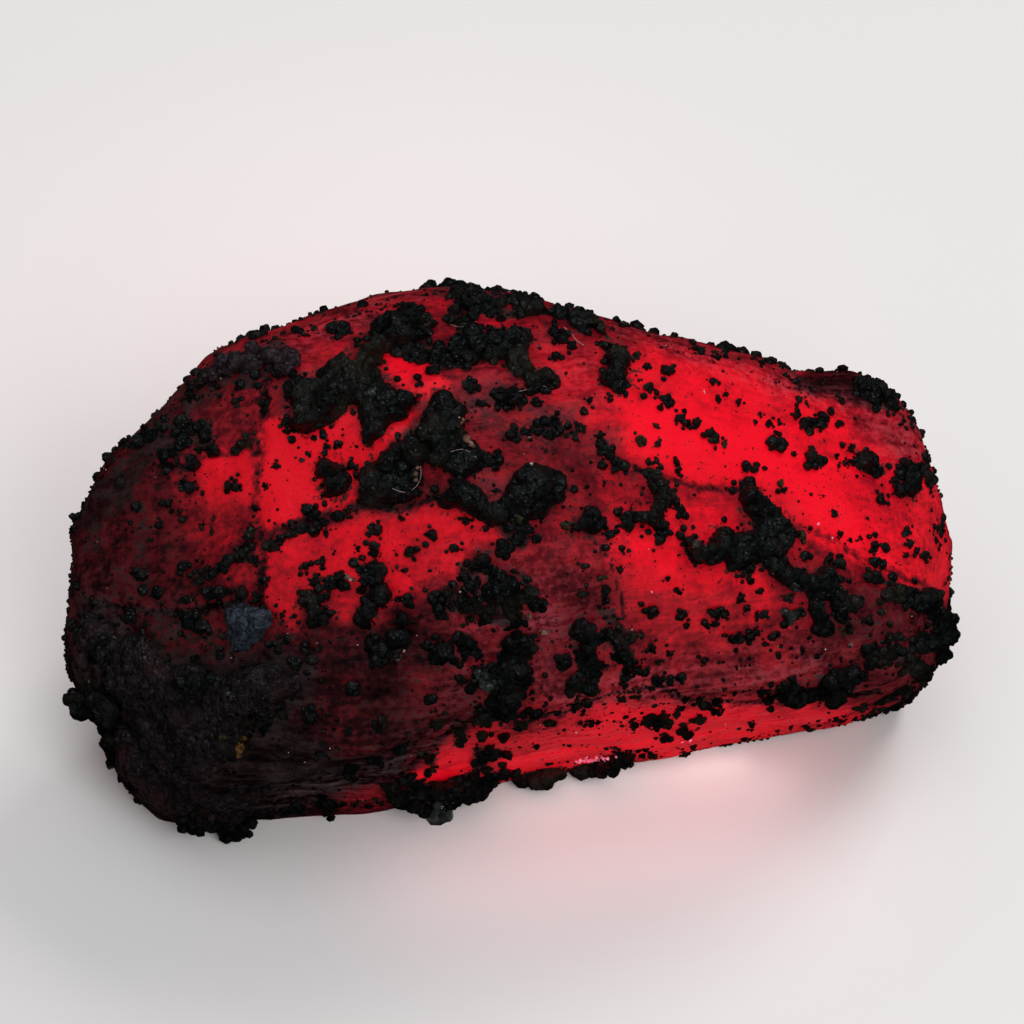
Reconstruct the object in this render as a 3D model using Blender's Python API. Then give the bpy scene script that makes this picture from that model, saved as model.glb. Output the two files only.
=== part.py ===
"""A raw ruby crystal: one broken, worn block of red corundum, with patches of black mineral crust on it.

Frame: metres, +Z up, the long axis of the stone along X, and the origin under the middle of its box,
on the surface that the stone rests on. The flat parting face underneath lies at z = 0.

The ruby is one solid. Each patch of crust is a mass of another mineral, so it is a solid of its own:
lumps run together, hollowed underneath to sit on the ruby.
"""

import math
import random

import bmesh
import bpy
from mathutils import Matrix, Vector, noise
from mathutils.bvhtree import BVHTree

MM = 0.001
GAP = 0.3  # clearance between the crust and the ruby, in millimetres

# The stone is laid out on a map: an oblique plane that faces its front left quarter, from above.
# On the map u runs to the right, v up, and w stands out of it towards an eye in front of the map,
# to which all of the map's lines run together. All sizes below are in millimetres.
MAP_AZIMUTH = math.radians(-9.0)
MAP_ELEVATION = math.radians(45.0)
MAP_HEIGHT = 12.6  # how high the map's middle lies above the resting surface
EYE_DISTANCE = 220.0

# The ruby

# Its outline on the map, anticlockwise from the right end.
OUTLINE = (
    (22.1, -4.6), (22.1, -2.9), (21.7, -1.6), (21.1, -0.6), (21.2, 1.1), (20.7, 2.9), (20.0, 4.4),
    (18.6, 5.2), (16.6, 5.6), (14.6, 6.1), (11.6, 7.3), (8.6, 8.2), (5.4, 9.2), (1.9, 10.1),
    (-1.6, 10.7), (-4.6, 11.0), (-7.4, 10.4), (-10.4, 9.1), (-13.5, 8.3), (-15.4, 7.2), (-16.8, 5.4),
    (-19.0, 3.2), (-20.9, 1.2), (-22.0, -0.3), (-22.3, -2.9), (-22.4, -5.8), (-21.8, -8.4), (-20.4, -10.9),
    (-19.4, -13.3), (-18.2, -15.0), (-16.0, -16.0), (-13.2, -15.9), (-10.0, -15.2), (-6.6, -14.6),
    (-3.0, -13.8), (0.9, -13.1), (4.4, -12.4), (8.6, -11.6), (12.0, -11.2), (16.4, -10.2), (19.9, -8.9),
    (21.6, -7.7),
)
OUTLINE_CENTRE = (0.0, -2.6)
OUTLINE_GROWTH = 1.012  # makes up for what the rounding of the edges takes off
FRONT_BULGE = 11.0  # how far the stone stands out of the map
BACK_BULGE = 14.6  # how far it goes behind the map
SQUARENESS = 0.80  # below 1 the stone is boxier than an ellipsoid
RIGHT_END_DROP = 0.12  # how fast the stone sinks behind the map, per mm to the right
ENDS_DROP = 0.004  # how both ends sink behind the map, per square mm

# Broad faces of the worn crystal: each is a direction that the face looks in (u, v, w), how far it
# lies from the outline's centre, and how hard it cuts (1 is a clean flat face).
FACES = (
    ("top_right", (0.22, 0.38, 0.90), 10.5, 0.90),
    ("front", (0.05, -0.55, 0.83), 9.0, 0.90),
    ("left_face", (-0.42, 0.10, 0.90), 10.3, 0.88),
    ("left_low", (-0.55, -0.45, 0.70), 14.6, 0.80),
    ("top", (-0.05, 0.66, 0.75), 10.6, 0.85),
    ("under_front", (0.12, -0.91, 0.39), 9.2, 0.92),
    ("left_end", (-0.93, -0.10, 0.36), 20.6, 0.80),
    ("right_end", (0.92, 0.05, 0.40), 20.6, 0.85),
    ("right_top", (0.42, 0.52, 0.74), 12.6, 0.85),
    ("back_high", (0.05, 0.72, -0.69), 12.2, 0.92),
    ("back_low", (0.08, 0.22, -0.97), 13.2, 0.92),
    ("back_left", (-0.66, 0.30, -0.69), 15.2, 0.92),
    ("back_right", (0.70, 0.20, -0.68), 14.8, 0.92),
)
EDGE_ROUNDING = 2  # passes that wear the edges round

# Parting cracks show as low steps: a line on the map, how far its left side stands up (a negative
# rise stands up on the right side), and how far the rise takes to fade.
LEDGES = (
    ("upright_crack", ((-12.6, -5.2), (-12.5, -2.0), (-12.9, 1.0), (-12.4, 4.6)), -0.40, 5.0),
    ("cross_crack", ((-17.2, 2.6), (-14.5, 3.0), (-12.4, 3.2)), -0.30, 3.0),
    ("slant_crack", ((-13.1, -1.6), (-10.6, -0.4), (-8.4, 0.2), (-5.5, 0.4), (-2.0, 0.9)), -0.40, 4.5),
    ("right_crack", ((6.4, 2.1), (9.4, 1.1), (12.4, 1.0), (16.0, -1.4)), 0.40, 5.5),
    ("crown_crack", ((-4.5, 7.0), (-1.0, 7.4), (2.2, 6.0), (6.5, 6.0), (10.0, 4.2)), -0.35, 4.0),
    ("low_crack", ((-9.5, -12.6), (-4.0, -10.4), (0.5, -9.6), (5.0, -9.0), (12.0, -8.6)), 0.45, 4.0),
    ("left_crack", ((-21.0, -4.6), (-18.6, -4.9), (-16.0, -5.2), (-13.4, -4.4)), 0.45, 4.0),
)
LEDGE_EDGE = 0.5  # how wide the riser of a ledge is

# Flakes broken off: hollow scoops, each a sphere's centre (u, v, w) and radius.
SCOOPS = (
    ("right_hollow", (25.4, -0.4, -1.0), 4.3),
    ("left_notch", (-25.6, -9.2, 3.0), 5.2),
    ("back_flake", (7.0, 12.5, -15.5), 9.4),
    ("back_left_flake", (-17.5, 6.5, -14.5), 8.4),
    ("back_right_flake", (20.5, -1.0, -16.5), 8.8),
    ("low_back_flake", (-6.0, 1.0, -20.5), 9.4),
    ("front_dent", (-9.0, -7.5, 17.2), 9.6),
)

# Small pits and lumps of the surface on the map's side: u, v, radius and how far it stands up.
DIMPLES = (
    (3.4, 3.4, 1.6, -0.30), (7.6, 4.6, 2.0, -0.25), (14.2, -5.2, 1.6, 0.30), (17.2, 0.2, 2.2, -0.30),
    (-15.2, -1.0, 2.0, -0.30), (-18.4, 0.2, 1.8, 0.30), (-17.6, -3.4, 1.6, -0.35), (-8.4, 2.4, 1.8, -0.25),
    (-3.2, -7.4, 2.0, 0.35), (-1.4, -5.4, 1.6, -0.35), (5.4, -6.6, 2.0, 0.35), (9.4, -7.2, 1.8, -0.30),
    (18.8, -4.6, 2.0, 0.35), (-6.4, -11.2, 2.2, 0.40), (-10.8, -11.4, 2.0, -0.40), (-15.4, -11.8, 2.2, 0.45),
    (-18.0, -9.0, 2.2, 0.40), (2.0, 8.2, 1.6, -0.25), (11.0, 5.2, 1.8, -0.25),
)
FAR_RIDGE = ((17.2, 4.6, -5.0), 4.2, 1.9)  # a hump behind the upper right edge: centre, radius, height

# Growth steps all round the crystal: the direction they stack in, their spacing and their height.
GROWTH_AXIS = Vector((0.34, 0.42, 0.84)).normalized()
GROWTH_STEP = 4.6
GROWTH_HEIGHT = 0.7
SWELLS = ((0.16, 0.38), (0.42, 0.20), (1.1, 0.09))  # uneven surface: frequency per mm, and height
RUBY_FACE_SHARE = 0.62  # of the faces that the shape is worked in
BASE_LEVEL = 0.6  # what lies lower than this is broken off flat, as the resting face

# The crust: for each patch, its lumps as u, v and radius on the map.
CRUSTS = {
    "crust_crown": (
        (-3.1, 10.8, 0.5), (-2.6, 11.0, 0.6), (-2.2, 10.4, 0.65), (-1.5, 10.8, 0.65), (-0.8, 10.5, 0.6),
        (-0.2, 10.7, 0.6), (0.4, 10.5, 0.6), (1.2, 10.7, 0.75), (1.7, 10.2, 0.65), (0.7, 10.0, 0.5),
    ),
    "crust_crown_right": (
        (2.8, 10.0, 0.6), (3.4, 9.7, 0.75), (4.0, 9.5, 0.65), (3.2, 9.2, 0.5), (4.6, 9.2, 0.5), (5.0, 8.9, 0.4),
    ),
    "crust_shoulder": (
        (-5.2, 9.6, 1.0), (-4.4, 9.2, 0.9), (-6.0, 9.0, 0.95), (-5.1, 8.7, 0.9), (-6.8, 8.5, 0.75),
        (-7.4, 8.3, 0.65), (-7.4, 7.5, 0.95), (-8.2, 7.0, 0.85), (-7.8, 6.5, 0.95), (-9.2, 6.3, 0.9),
        (-8.7, 5.7, 0.95), (-9.7, 5.7, 0.8), (-10.8, 6.2, 0.7), (-10.7, 5.5, 0.7), (-9.4, 4.9, 0.8),
        (-10.2, 4.5, 0.75), (-7.2, 6.3, 0.7), (-6.6, 6.1, 0.95), (-5.8, 5.7, 0.9), (-5.0, 5.6, 0.75),
        (-6.9, 5.4, 0.85), (-7.2, 4.6, 0.75), (-6.8, 3.9, 0.7), (-6.2, 4.9, 0.65),
    ),
    "crust_middle": (
        (-3.4, 4.9, 0.9), (-2.8, 4.6, 0.65), (-4.2, 4.1, 0.85), (-3.7, 3.4, 1.25), (-2.8, 3.2, 1.1),
        (-4.6, 3.3, 0.85), (-3.3, 2.6, 0.95), (-2.4, 2.4, 0.8), (-1.6, 2.9, 0.6), (-5.3, 3.1, 0.6),
        (-6.2, 2.6, 0.85), (-5.7, 1.9, 0.95), (-5.3, 1.3, 0.8), (-6.3, 1.1, 0.85), (-6.9, 1.5, 0.75),
        (-7.2, 0.9, 0.55),
    ),
    "crust_left_of_middle": (
        (-9.0, 2.2, 0.5), (-8.9, 1.6, 0.6), (-8.6, 1.1, 0.6), (-9.3, 1.0, 0.5), (-8.2, 1.6, 0.45),
    ),
    "crust_front_chain": (
        (-3.0, 1.0, 0.65), (-2.4, 0.7, 0.6), (-1.8, 0.3, 0.6), (-1.2, 0.1, 0.55), (-0.6, 0.3, 0.65),
        (0.1, 0.6, 0.85), (0.7, 1.0, 0.95), (1.3, 1.2, 1.05), (1.9, 1.2, 0.85), (2.4, 1.5, 0.65),
        (1.3, 0.4, 0.8), (0.4, 0.0, 0.7), (-0.3, -0.4, 0.5),
    ),
    "crust_band": (
        (-2.9, 7.9, 0.55), (-2.6, 8.4, 0.55), (-2.0, 8.4, 0.6), (-1.4, 8.2, 0.6), (-0.7, 8.5, 0.6),
        (0.0, 8.5, 0.65), (0.6, 8.7, 0.6), (0.6, 8.0, 0.65), (-1.0, 7.9, 0.5), (0.3, 7.4, 0.6),
        (0.9, 7.0, 0.6), (1.5, 6.6, 0.65), (-1.9, 7.8, 0.5),
    ),
    "crust_under_band": ((-0.6, 5.8, 0.55), (0.0, 5.8, 0.65), (0.5, 5.6, 0.55), (-0.1, 5.3, 0.5)),
    "crust_upper_right": (
        (5.5, 8.3, 0.5), (5.3, 7.7, 0.65), (5.1, 7.1, 0.6), (5.5, 6.8, 0.55), (5.0, 6.5, 0.5),
        (5.5, 6.3, 0.55), (6.1, 6.4, 0.45),
    ),
    "crust_right_middle": (
        (6.7, 1.7, 0.5), (7.1, 1.5, 0.55), (7.4, 0.9, 0.45), (7.1, 0.2, 0.55), (6.6, 0.0, 0.55),
        (6.0, -0.5, 0.45), (5.5, -0.4, 0.4), (7.2, -0.5, 0.55), (7.5, -1.0, 0.5),
    ),
    "crust_glint": ((3.7, -0.2, 0.5), (4.1, -0.5, 0.55), (3.5, -0.8, 0.5), (3.0, -0.9, 0.4)),
    "crust_right_cross": (
        (11.9, 1.0, 0.6), (12.2, 0.4, 0.65), (12.8, 0.1, 0.85), (13.4, -0.3, 0.9), (13.9, -0.6, 0.6),
        (12.8, -0.9, 0.9), (13.3, -1.5, 0.8), (12.6, -1.7, 0.7), (12.0, -1.5, 0.65), (11.3, -1.5, 0.6),
        (10.7, -1.5, 0.6), (10.8, -0.9, 0.45), (10.2, -2.0, 0.65), (9.6, -2.0, 0.75), (9.0, -1.9, 0.75),
        (8.7, -1.5, 0.5), (9.3, -2.4, 0.6), (11.0, -2.3, 0.55), (11.6, -2.5, 0.6), (13.1, -2.3, 0.65),
        (13.6, -2.8, 0.7), (14.2, -3.2, 0.75), (14.9, -3.2, 0.8), (15.4, -3.5, 0.7), (15.1, -4.1, 0.75),
        (15.3, -4.8, 0.7), (15.7, -5.4, 0.65), (15.3, -6.0, 0.55), (16.1, -4.2, 0.6), (16.8, -4.5, 0.6),
    ),
    "crust_right_ledge": ((17.4, 2.4, 0.45), (17.9, 2.0, 0.5), (18.3, 2.2, 0.5), (18.2, 1.7, 0.4)),
    "crust_right_rim": ((19.6, 2.2, 0.5), (19.7, 1.6, 0.6), (19.8, 1.1, 0.5), (20.3, 2.1, 0.5)),
    "crust_far_ridge": (
        (15.0, 6.3, 0.55), (15.7, 6.4, 0.55), (16.5, 6.2, 0.65), (17.3, 6.1, 0.7), (18.1, 6.1, 0.75),
        (18.7, 5.8, 0.7), (19.1, 5.2, 0.55),
    ),
    "crust_right_end": (
        (20.3, -4.4, 0.55), (20.9, -4.5, 0.65), (21.1, -5.2, 0.55), (21.6, -5.8, 0.6), (21.9, -6.4, 0.5),
        (21.2, -6.2, 0.6), (21.3, -7.0, 0.6), (20.6, -6.7, 0.6), (20.0, -7.0, 0.5),
    ),
    "crust_low_right": (
        (16.9, -7.9, 0.5), (16.3, -8.2, 0.6), (15.6, -8.7, 0.65), (16.2, -9.0, 0.6), (15.0, -9.0, 0.55),
        (14.3, -8.9, 0.5), (13.7, -8.9, 0.5),
    ),
    "crust_low_right_edge": ((18.6, -9.4, 0.5), (19.2, -9.1, 0.5), (19.8, -8.8, 0.4)),
    "crust_left_edge": (
        (-11.4, 7.6, 0.75), (-12.0, 7.9, 0.8), (-12.8, 7.7, 0.75), (-11.6, 7.1, 0.6), (-13.7, 7.5, 0.65),
        (-14.6, 7.1, 0.6), (-15.3, 6.7, 0.6), (-15.9, 6.3, 0.5),
    ),
    "crust_chain_left": (
        (-6.7, -3.0, 0.45), (-6.9, -3.6, 0.5), (-6.8, -4.2, 0.5), (-7.2, -4.7, 0.5), (-7.4, -5.3, 0.55),
        (-7.2, -2.8, 0.4),
    ),
    "crust_blot_left": (
        (-10.1, -4.1, 0.6), (-9.7, -4.5, 0.5), (-9.6, -5.1, 0.55), (-10.2, -5.4, 0.5), (-9.1, -5.1, 0.4),
    ),
    "crust_middle_low": (
        (-1.3, -2.3, 0.5), (-1.1, -2.9, 0.55), (-0.6, -3.5, 0.6), (0.0, -4.0, 0.55), (-0.3, -4.4, 0.5),
        (0.6, -4.2, 0.45), (1.1, -4.3, 0.45), (-1.4, -4.2, 0.5), (-1.8, -4.5, 0.45), (-0.9, -3.9, 0.45),
    ),
    "crust_lower_left": (
        (-6.9, -6.8, 0.6), (-6.3, -6.6, 0.65), (-5.7, -6.5, 0.55), (-5.1, -6.4, 0.5), (-6.4, -7.1, 0.55),
    ),
    "crust_lower_spot": ((-3.8, -6.9, 0.45), (-3.3, -6.8, 0.5), (-3.1, -7.2, 0.45)),
    "crust_lower_middle": (
        (0.1, -6.5, 0.5), (0.7, -6.6, 0.5), (0.4, -7.1, 0.55), (0.2, -7.8, 0.55), (-0.5, -7.5, 0.5),
        (-1.2, -8.2, 0.65), (0.2, -8.5, 0.5), (-0.1, -9.1, 0.6), (-0.8, -9.3, 0.55), (-0.3, -9.9, 0.5),
        (-0.9, -8.7, 0.45),
    ),
    "crust_lower_right": (
        (3.4, -5.8, 0.6), (3.8, -6.2, 0.5), (4.4, -6.4, 0.5), (5.0, -6.1, 0.55), (5.5, -6.5, 0.5),
    ),
    "crust_toe": (
        (-1.5, -13.6, 0.55), (-2.2, -13.5, 0.65), (-3.0, -13.5, 0.7), (-3.8, -13.8, 0.75),
        (-4.7, -14.0, 0.65), (-5.5, -14.1, 0.5), (-3.6, -14.5, 0.75), (-3.6, -15.1, 0.7),
    ),
    "crust_toe_right": ((0.5, -13.3, 0.6), (1.2, -13.1, 0.8), (1.9, -12.9, 0.65)),
    "crust_toe_far_right": ((3.5, -12.7, 0.5), (4.1, -12.7, 0.65), (4.9, -12.4, 0.5), (5.5, -12.1, 0.45)),
    "crust_spur": (
        (-20.1, -9.6, 0.8), (-20.8, -9.5, 0.75), (-21.5, -9.4, 0.65), (-21.6, -9.9, 0.5), (-20.2, -10.4, 0.6),
        (-20.0, -11.3, 0.5), (-19.9, -12.1, 0.5),
    ),
    "crust_grey_lump": ((-13.6, -5.6, 0.75), (-13.2, -6.2, 0.85), (-12.6, -5.6, 0.65), (-13.9, -6.2, 0.6)),
}

# The thick coat over the lower left end: its limits on the map, and its lumps' spacing and radius.
COAT_NAME = "crust_left_end"
COAT_LIMITS = (
    (-21.4, -6.2), (-19.6, -6.0), (-17.8, -7.4), (-15.6, -7.8), (-13.6, -8.3), (-11.0, -8.3), (-12.0, -9.6),
    (-13.4, -10.9), (-14.2, -12.4), (-12.6, -13.8), (-10.9, -14.0), (-11.2, -15.0), (-13.8, -15.7),
    (-16.4, -15.7), (-18.6, -14.2), (-18.9, -12.2), (-18.9, -9.6), (-20.6, -8.4), (-21.5, -7.6),
)
COAT_SPACING = 1.55
COAT_STRAY = 0.3  # how far a lump may lie out of its row
COAT_LUMP = (1.05, 1.4)
COAT_SQUASH = 0.55
COAT_SEED = 5

# Patches on the back, which the map doesn't reach: their lumps as x, height and radius.
BACK_CRUSTS = {
    "crust_back_high": (
        (-3.0, 17.0, 0.9), (-1.8, 17.4, 1.0), (-0.6, 16.6, 1.0), (0.6, 16.9, 0.8), (-1.4, 15.9, 0.9),
        (-2.6, 15.8, 0.7), (0.2, 15.6, 0.8), (1.6, 16.2, 0.7),
    ),
    "crust_back_left": (
        (-14.0, 11.0, 1.0), (-13.0, 10.2, 1.1), (-12.0, 9.6, 0.9), (-13.6, 9.2, 1.0), (-14.8, 9.9, 0.8),
        (-12.4, 8.4, 0.8), (-15.0, 8.6, 0.8),
    ),
    "crust_back_right": (
        (11.0, 9.4, 0.9), (12.0, 8.8, 1.0), (13.0, 8.6, 0.9), (12.2, 7.8, 0.9), (11.0, 8.2, 0.7),
        (13.8, 7.8, 0.7), (10.2, 9.8, 0.6),
    ),
    "crust_back_low": (
        (-2.0, 6.4, 0.9), (-0.8, 6.0, 1.0), (0.4, 6.4, 0.8), (1.4, 5.8, 0.9), (-1.2, 7.2, 0.8), (2.4, 6.4, 0.7),
    ),
}
BEHIND = 60.0  # a distance behind the stone, from which the back's patches are placed

PATCH_LUMP_GROWTH = 1.08  # lumps of the map's patches, over the radius given
PATCH_SQUASH = 0.85  # how high a lump stands for its width
BACK_SQUASH = 0.8
LUMP_LIFT = 0.25  # how much of a lump's height its middle lies above the ruby's clearance
LUMP_UNEVENNESS = (0.84, 1.18)  # of a lump's radius, from corner to corner
LUMP_PITCH = 1.25  # lumps further apart than this many radii get others between them
LUMP_DETAIL = 0.28  # how finely the lumps of a patch are run together
CRUST_FACE_SHARE = 0.085  # how much of that is kept, as flat facets

RUBY_COLOUR = (0.42, 0.012, 0.04, 1.0)
CRUST_COLOUR = (0.014, 0.015, 0.015, 1.0)


def map_axes():
    """The map's right, up and outward directions in the stone's own frame."""
    sin_a, cos_a = math.sin(MAP_AZIMUTH), math.cos(MAP_AZIMUTH)
    sin_e, cos_e = math.sin(MAP_ELEVATION), math.cos(MAP_ELEVATION)
    right = Vector((cos_a, sin_a, 0.0))
    up = Vector((-sin_a * sin_e, cos_a * sin_e, cos_e))
    out = Vector((sin_a * cos_e, -cos_a * cos_e, sin_e))
    return right, up, out


RIGHT, UP, OUT = map_axes()
EYE = OUT * EYE_DISTANCE + Vector((0.0, 0.0, MAP_HEIGHT))


def from_map(u, v, w):
    """A point of the map, in millimetres in the stone's frame."""
    nearness = 1.0 - w / EYE_DISTANCE
    return RIGHT * u * nearness + UP * v * nearness + OUT * w + Vector((0.0, 0.0, MAP_HEIGHT))


def to_map(point):
    """The reverse of from_map."""
    local = point - Vector((0.0, 0.0, MAP_HEIGHT))
    w = local.dot(OUT)
    nearness = 1.0 - w / EYE_DISTANCE
    return local.dot(RIGHT) / nearness, local.dot(UP) / nearness, w


def smooth_step(x):
    x = min(max(x, 0.0), 1.0)
    return x * x * (3.0 - 2.0 * x)


def outline_reach(theta, turns):
    """How far the outline reaches from its centre at this angle: a smooth curve through its points."""
    count = len(turns)
    for i in range(count):
        start, reach = turns[i]
        end, next_reach = turns[(i + 1) % count]
        span = (end - start) % math.tau
        along = (theta - start) % math.tau
        if along <= span:
            t = along / span
            before, after = turns[i - 1][1], turns[(i + 2) % count][1]
            slope = next_reach - before
            bend = 2 * before - 5 * reach + 4 * next_reach - after
            twist = 3 * (reach - next_reach) + after - before
            return reach + 0.5 * t * (slope + t * (bend + t * twist))
    return turns[0][1]


def cut_by_faces(point, centre):
    for _, direction, distance, hardness in FACES:
        normal = Vector(direction).normalized()
        beyond = (point - centre).dot(normal) - distance
        if beyond > 0:
            point = point - normal * beyond * hardness
    return point


def rough_block():
    """The ruby before its surface is worked, in map coordinates: a block cut by its broad faces."""
    centre_u, centre_v = OUTLINE_CENTRE
    turns = sorted(
        (math.atan2(v - centre_v, u - centre_u) % math.tau, math.hypot(u - centre_u, v - centre_v))
        for u, v in OUTLINE
    )
    centre = Vector((centre_u, centre_v, 0.0))
    bm = bmesh.new()
    bmesh.ops.create_icosphere(bm, subdivisions=5, radius=1.0)
    for vert in bm.verts:
        direction = vert.co.normalized()
        in_plane = math.hypot(direction.x, direction.y)
        theta = math.atan2(direction.y, direction.x) % math.tau
        reach = outline_reach(theta, turns) * OUTLINE_GROWTH * in_plane**SQUARENESS
        bulge = FRONT_BULGE if direction.z > 0 else BACK_BULGE
        depth = math.copysign(abs(direction.z) ** SQUARENESS, direction.z) * bulge
        around = Vector((reach * math.cos(theta), reach * math.sin(theta), depth))
        vert.co = cut_by_faces(centre + around, centre)
    for _ in range(EDGE_ROUNDING):
        bmesh.ops.smooth_vert(bm, verts=bm.verts, factor=0.5, use_axis_x=True, use_axis_y=True, use_axis_z=True)
    return bm


def scoop_out(point):
    """Push a point out of the flakes' spheres, towards the middle of the stone."""
    for _, centre, radius in SCOOPS:
        from_centre = point - Vector(centre)
        if from_centre.length < radius:
            point = Vector(centre) + from_centre.normalized() * radius
    return point


def ledge_height(u, v):
    """How far the parting cracks' steps raise the surface at this place on the map."""
    total = 0.0
    for _, line, rise, reach in LEDGES:
        nearest, side = reach, 0.0
        for (u0, v0), (u1, v1) in zip(line, line[1:]):
            run_u, run_v = u1 - u0, v1 - v0
            run = math.hypot(run_u, run_v)
            along = ((u - u0) * run_u + (v - v0) * run_v) / run**2
            clamped = min(max(along, 0.0), 1.0)
            off = math.hypot(u - u0 - clamped * run_u, v - v0 - clamped * run_v)
            if off < nearest:
                nearest = off
                side = (run_u * (v - v0) - run_v * (u - u0)) / run
        raised_side = side if rise > 0 else -side
        total += abs(rise) * smooth_step(0.5 + raised_side / LEDGE_EDGE) * (1.0 - smooth_step(nearest / reach))
    return total


def dimple_height(u, v):
    total = 0.0
    for centre_u, centre_v, radius, height in DIMPLES:
        off = math.hypot(u - centre_u, v - centre_v) / radius
        total += height * (1.0 - smooth_step(off))
    return total


def growth_height(point, faces_eye):
    """Sawtooth steps of the crystal's growth, lower on the worn side that faces the map's eye."""
    wander = noise.noise(point * 0.13) * 1.6
    level = (point.dot(GROWTH_AXIS) / GROWTH_STEP + wander) % 1.0
    fade = 1.0 - 0.8 * smooth_step(faces_eye * 2.0 + 0.6)
    return GROWTH_HEIGHT * fade * (level if level < 0.85 else (1.0 - level) / 0.15 * 0.85)


def ruby_mesh():
    """The ruby's closed mesh, in millimetres."""
    bm = rough_block()
    for vert in bm.verts:
        point = scoop_out(vert.co)
        point.z -= RIGHT_END_DROP * point.x + ENDS_DROP * point.x**2
        vert.co = from_map(*point)
    bm.normal_update()
    ridge_centre, ridge_radius, ridge_height = FAR_RIDGE
    ridge_place = from_map(*ridge_centre)
    moves = []
    for vert in bm.verts:
        u, v, _ = to_map(vert.co)
        faces_eye = vert.normal.dot((EYE - vert.co).normalized())
        height = growth_height(vert.co, faces_eye)
        height += sum(noise.noise(vert.co * frequency) * size for frequency, size in SWELLS)
        height += (ledge_height(u, v) + dimple_height(u, v)) * smooth_step(faces_eye * 3.0)
        height += ridge_height * (1.0 - smooth_step((vert.co - ridge_place).length / ridge_radius))
        moves.append(vert.normal * height)
    for vert, move in zip(bm.verts, moves):
        vert.co += move
        if vert.co.z < BASE_LEVEL:
            vert.co.z = 0.0
    bm.normal_update()
    return bm


def fewer_faces(bm, share):
    """The same closed mesh with this share of its faces: small facets run together where it is flat."""
    rough = mesh_object("rough", bm, None, scale=1.0)
    thin = rough.modifiers.new("thin", "DECIMATE")
    thin.ratio = share
    thinned = rough.evaluated_get(bpy.context.evaluated_depsgraph_get()).to_mesh()
    bm = bmesh.new()
    bm.from_mesh(thinned)
    bpy.data.objects.remove(rough)
    bm.normal_update()
    return bm


def place_on(tree, start, aim):
    """Where a line from start through aim meets the ruby, or passes nearest it, and the way out there."""
    direction = (aim - start).normalized()
    spot, normal, _, _ = tree.ray_cast(start, direction)
    if spot is not None:
        return spot, normal
    reach = (aim - start).length
    passes = [tree.find_nearest(start + direction * (reach + i * 0.5)) for i in range(-40, 41)]
    spot, normal, _, _ = min(passes, key=lambda found: found[3])
    return spot, normal


def run_together(lumps, tree):
    """Add lumps between those that lie too far apart, so that a patch is one mass."""
    chain = [lumps[0]]
    for lump in lumps[1:]:
        spot, _, radius, squash = lump
        nearest = min(chain, key=lambda other: (other[0] - spot).length)
        steps = int((nearest[0] - spot).length / (LUMP_PITCH * min(radius, nearest[2])))
        for i in range(1, steps + 1):
            between, normal, _, _ = tree.find_nearest(spot.lerp(nearest[0], i / (steps + 1)))
            chain.append((between, normal, 0.5 * (radius + nearest[2]), squash))
        chain.append(lump)
    return chain


def add_lump(bm, spot, normal, radius, squash, rng):
    """One angular lump of crust, half sunk in the surface."""
    made = bmesh.ops.create_icosphere(bm, subdivisions=1, radius=1.0)
    turn = Matrix.Rotation(rng.uniform(0, math.tau), 3, Vector((rng.gauss(0, 1), rng.gauss(0, 1), rng.gauss(0, 1))))
    centre = spot + normal * (GAP + radius * squash * LUMP_LIFT)
    for vert in made["verts"]:
        offset = turn @ vert.co.normalized() * radius * rng.uniform(*LUMP_UNEVENNESS)
        offset -= normal * offset.dot(normal) * (1.0 - squash)
        vert.co = centre + offset
        vert.co.z = max(vert.co.z, 0.0)


def inside(u, v, limits):
    """Whether a place on the map lies inside a closed line."""
    crossings = 0
    for (u0, v0), (u1, v1) in zip(limits, limits[1:] + limits[:1]):
        if (v0 > v) != (v1 > v) and u < u0 + (v - v0) / (v1 - v0) * (u1 - u0):
            crossings += 1
    return crossings % 2 == 1


def coat_lumps(rng):
    """The lumps of the thick coat: rows of them, a little out of line, inside the coat's limits."""
    lumps = []
    row_height = COAT_SPACING * math.sqrt(0.75)
    for row in range(20):
        for column in range(20):
            u = -23.0 + (column + 0.5 * (row % 2)) * COAT_SPACING + rng.uniform(-COAT_STRAY, COAT_STRAY)
            v = -18.0 + row * row_height + rng.uniform(-COAT_STRAY, COAT_STRAY)
            radius = rng.uniform(*COAT_LUMP)
            if inside(u, v, COAT_LIMITS):
                lumps.append((u, v, radius))
    return lumps


def keep_largest(bm):
    """Drop all but the largest closed island."""
    islands = []
    left = set(bm.faces)
    while left:
        front = [left.pop()]
        island = list(front)
        while front:
            for edge in front.pop().edges:
                for face in edge.link_faces:
                    if face in left:
                        left.remove(face)
                        front.append(face)
                        island.append(face)
        islands.append(island)
    islands.sort(key=len)
    for island in islands[:-1]:
        bmesh.ops.delete(bm, geom=island, context="FACES")
    return len(islands) - 1


def mesh_object(name, bm, material, scale=MM):
    bmesh.ops.scale(bm, vec=(scale, scale, scale), verts=bm.verts)
    mesh = bpy.data.meshes.new(name)
    bm.to_mesh(mesh)
    bm.free()
    obj = bpy.data.objects.new(name, mesh)
    bpy.context.scene.collection.objects.link(obj)
    if material:
        mesh.materials.append(material)
    return obj


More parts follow.
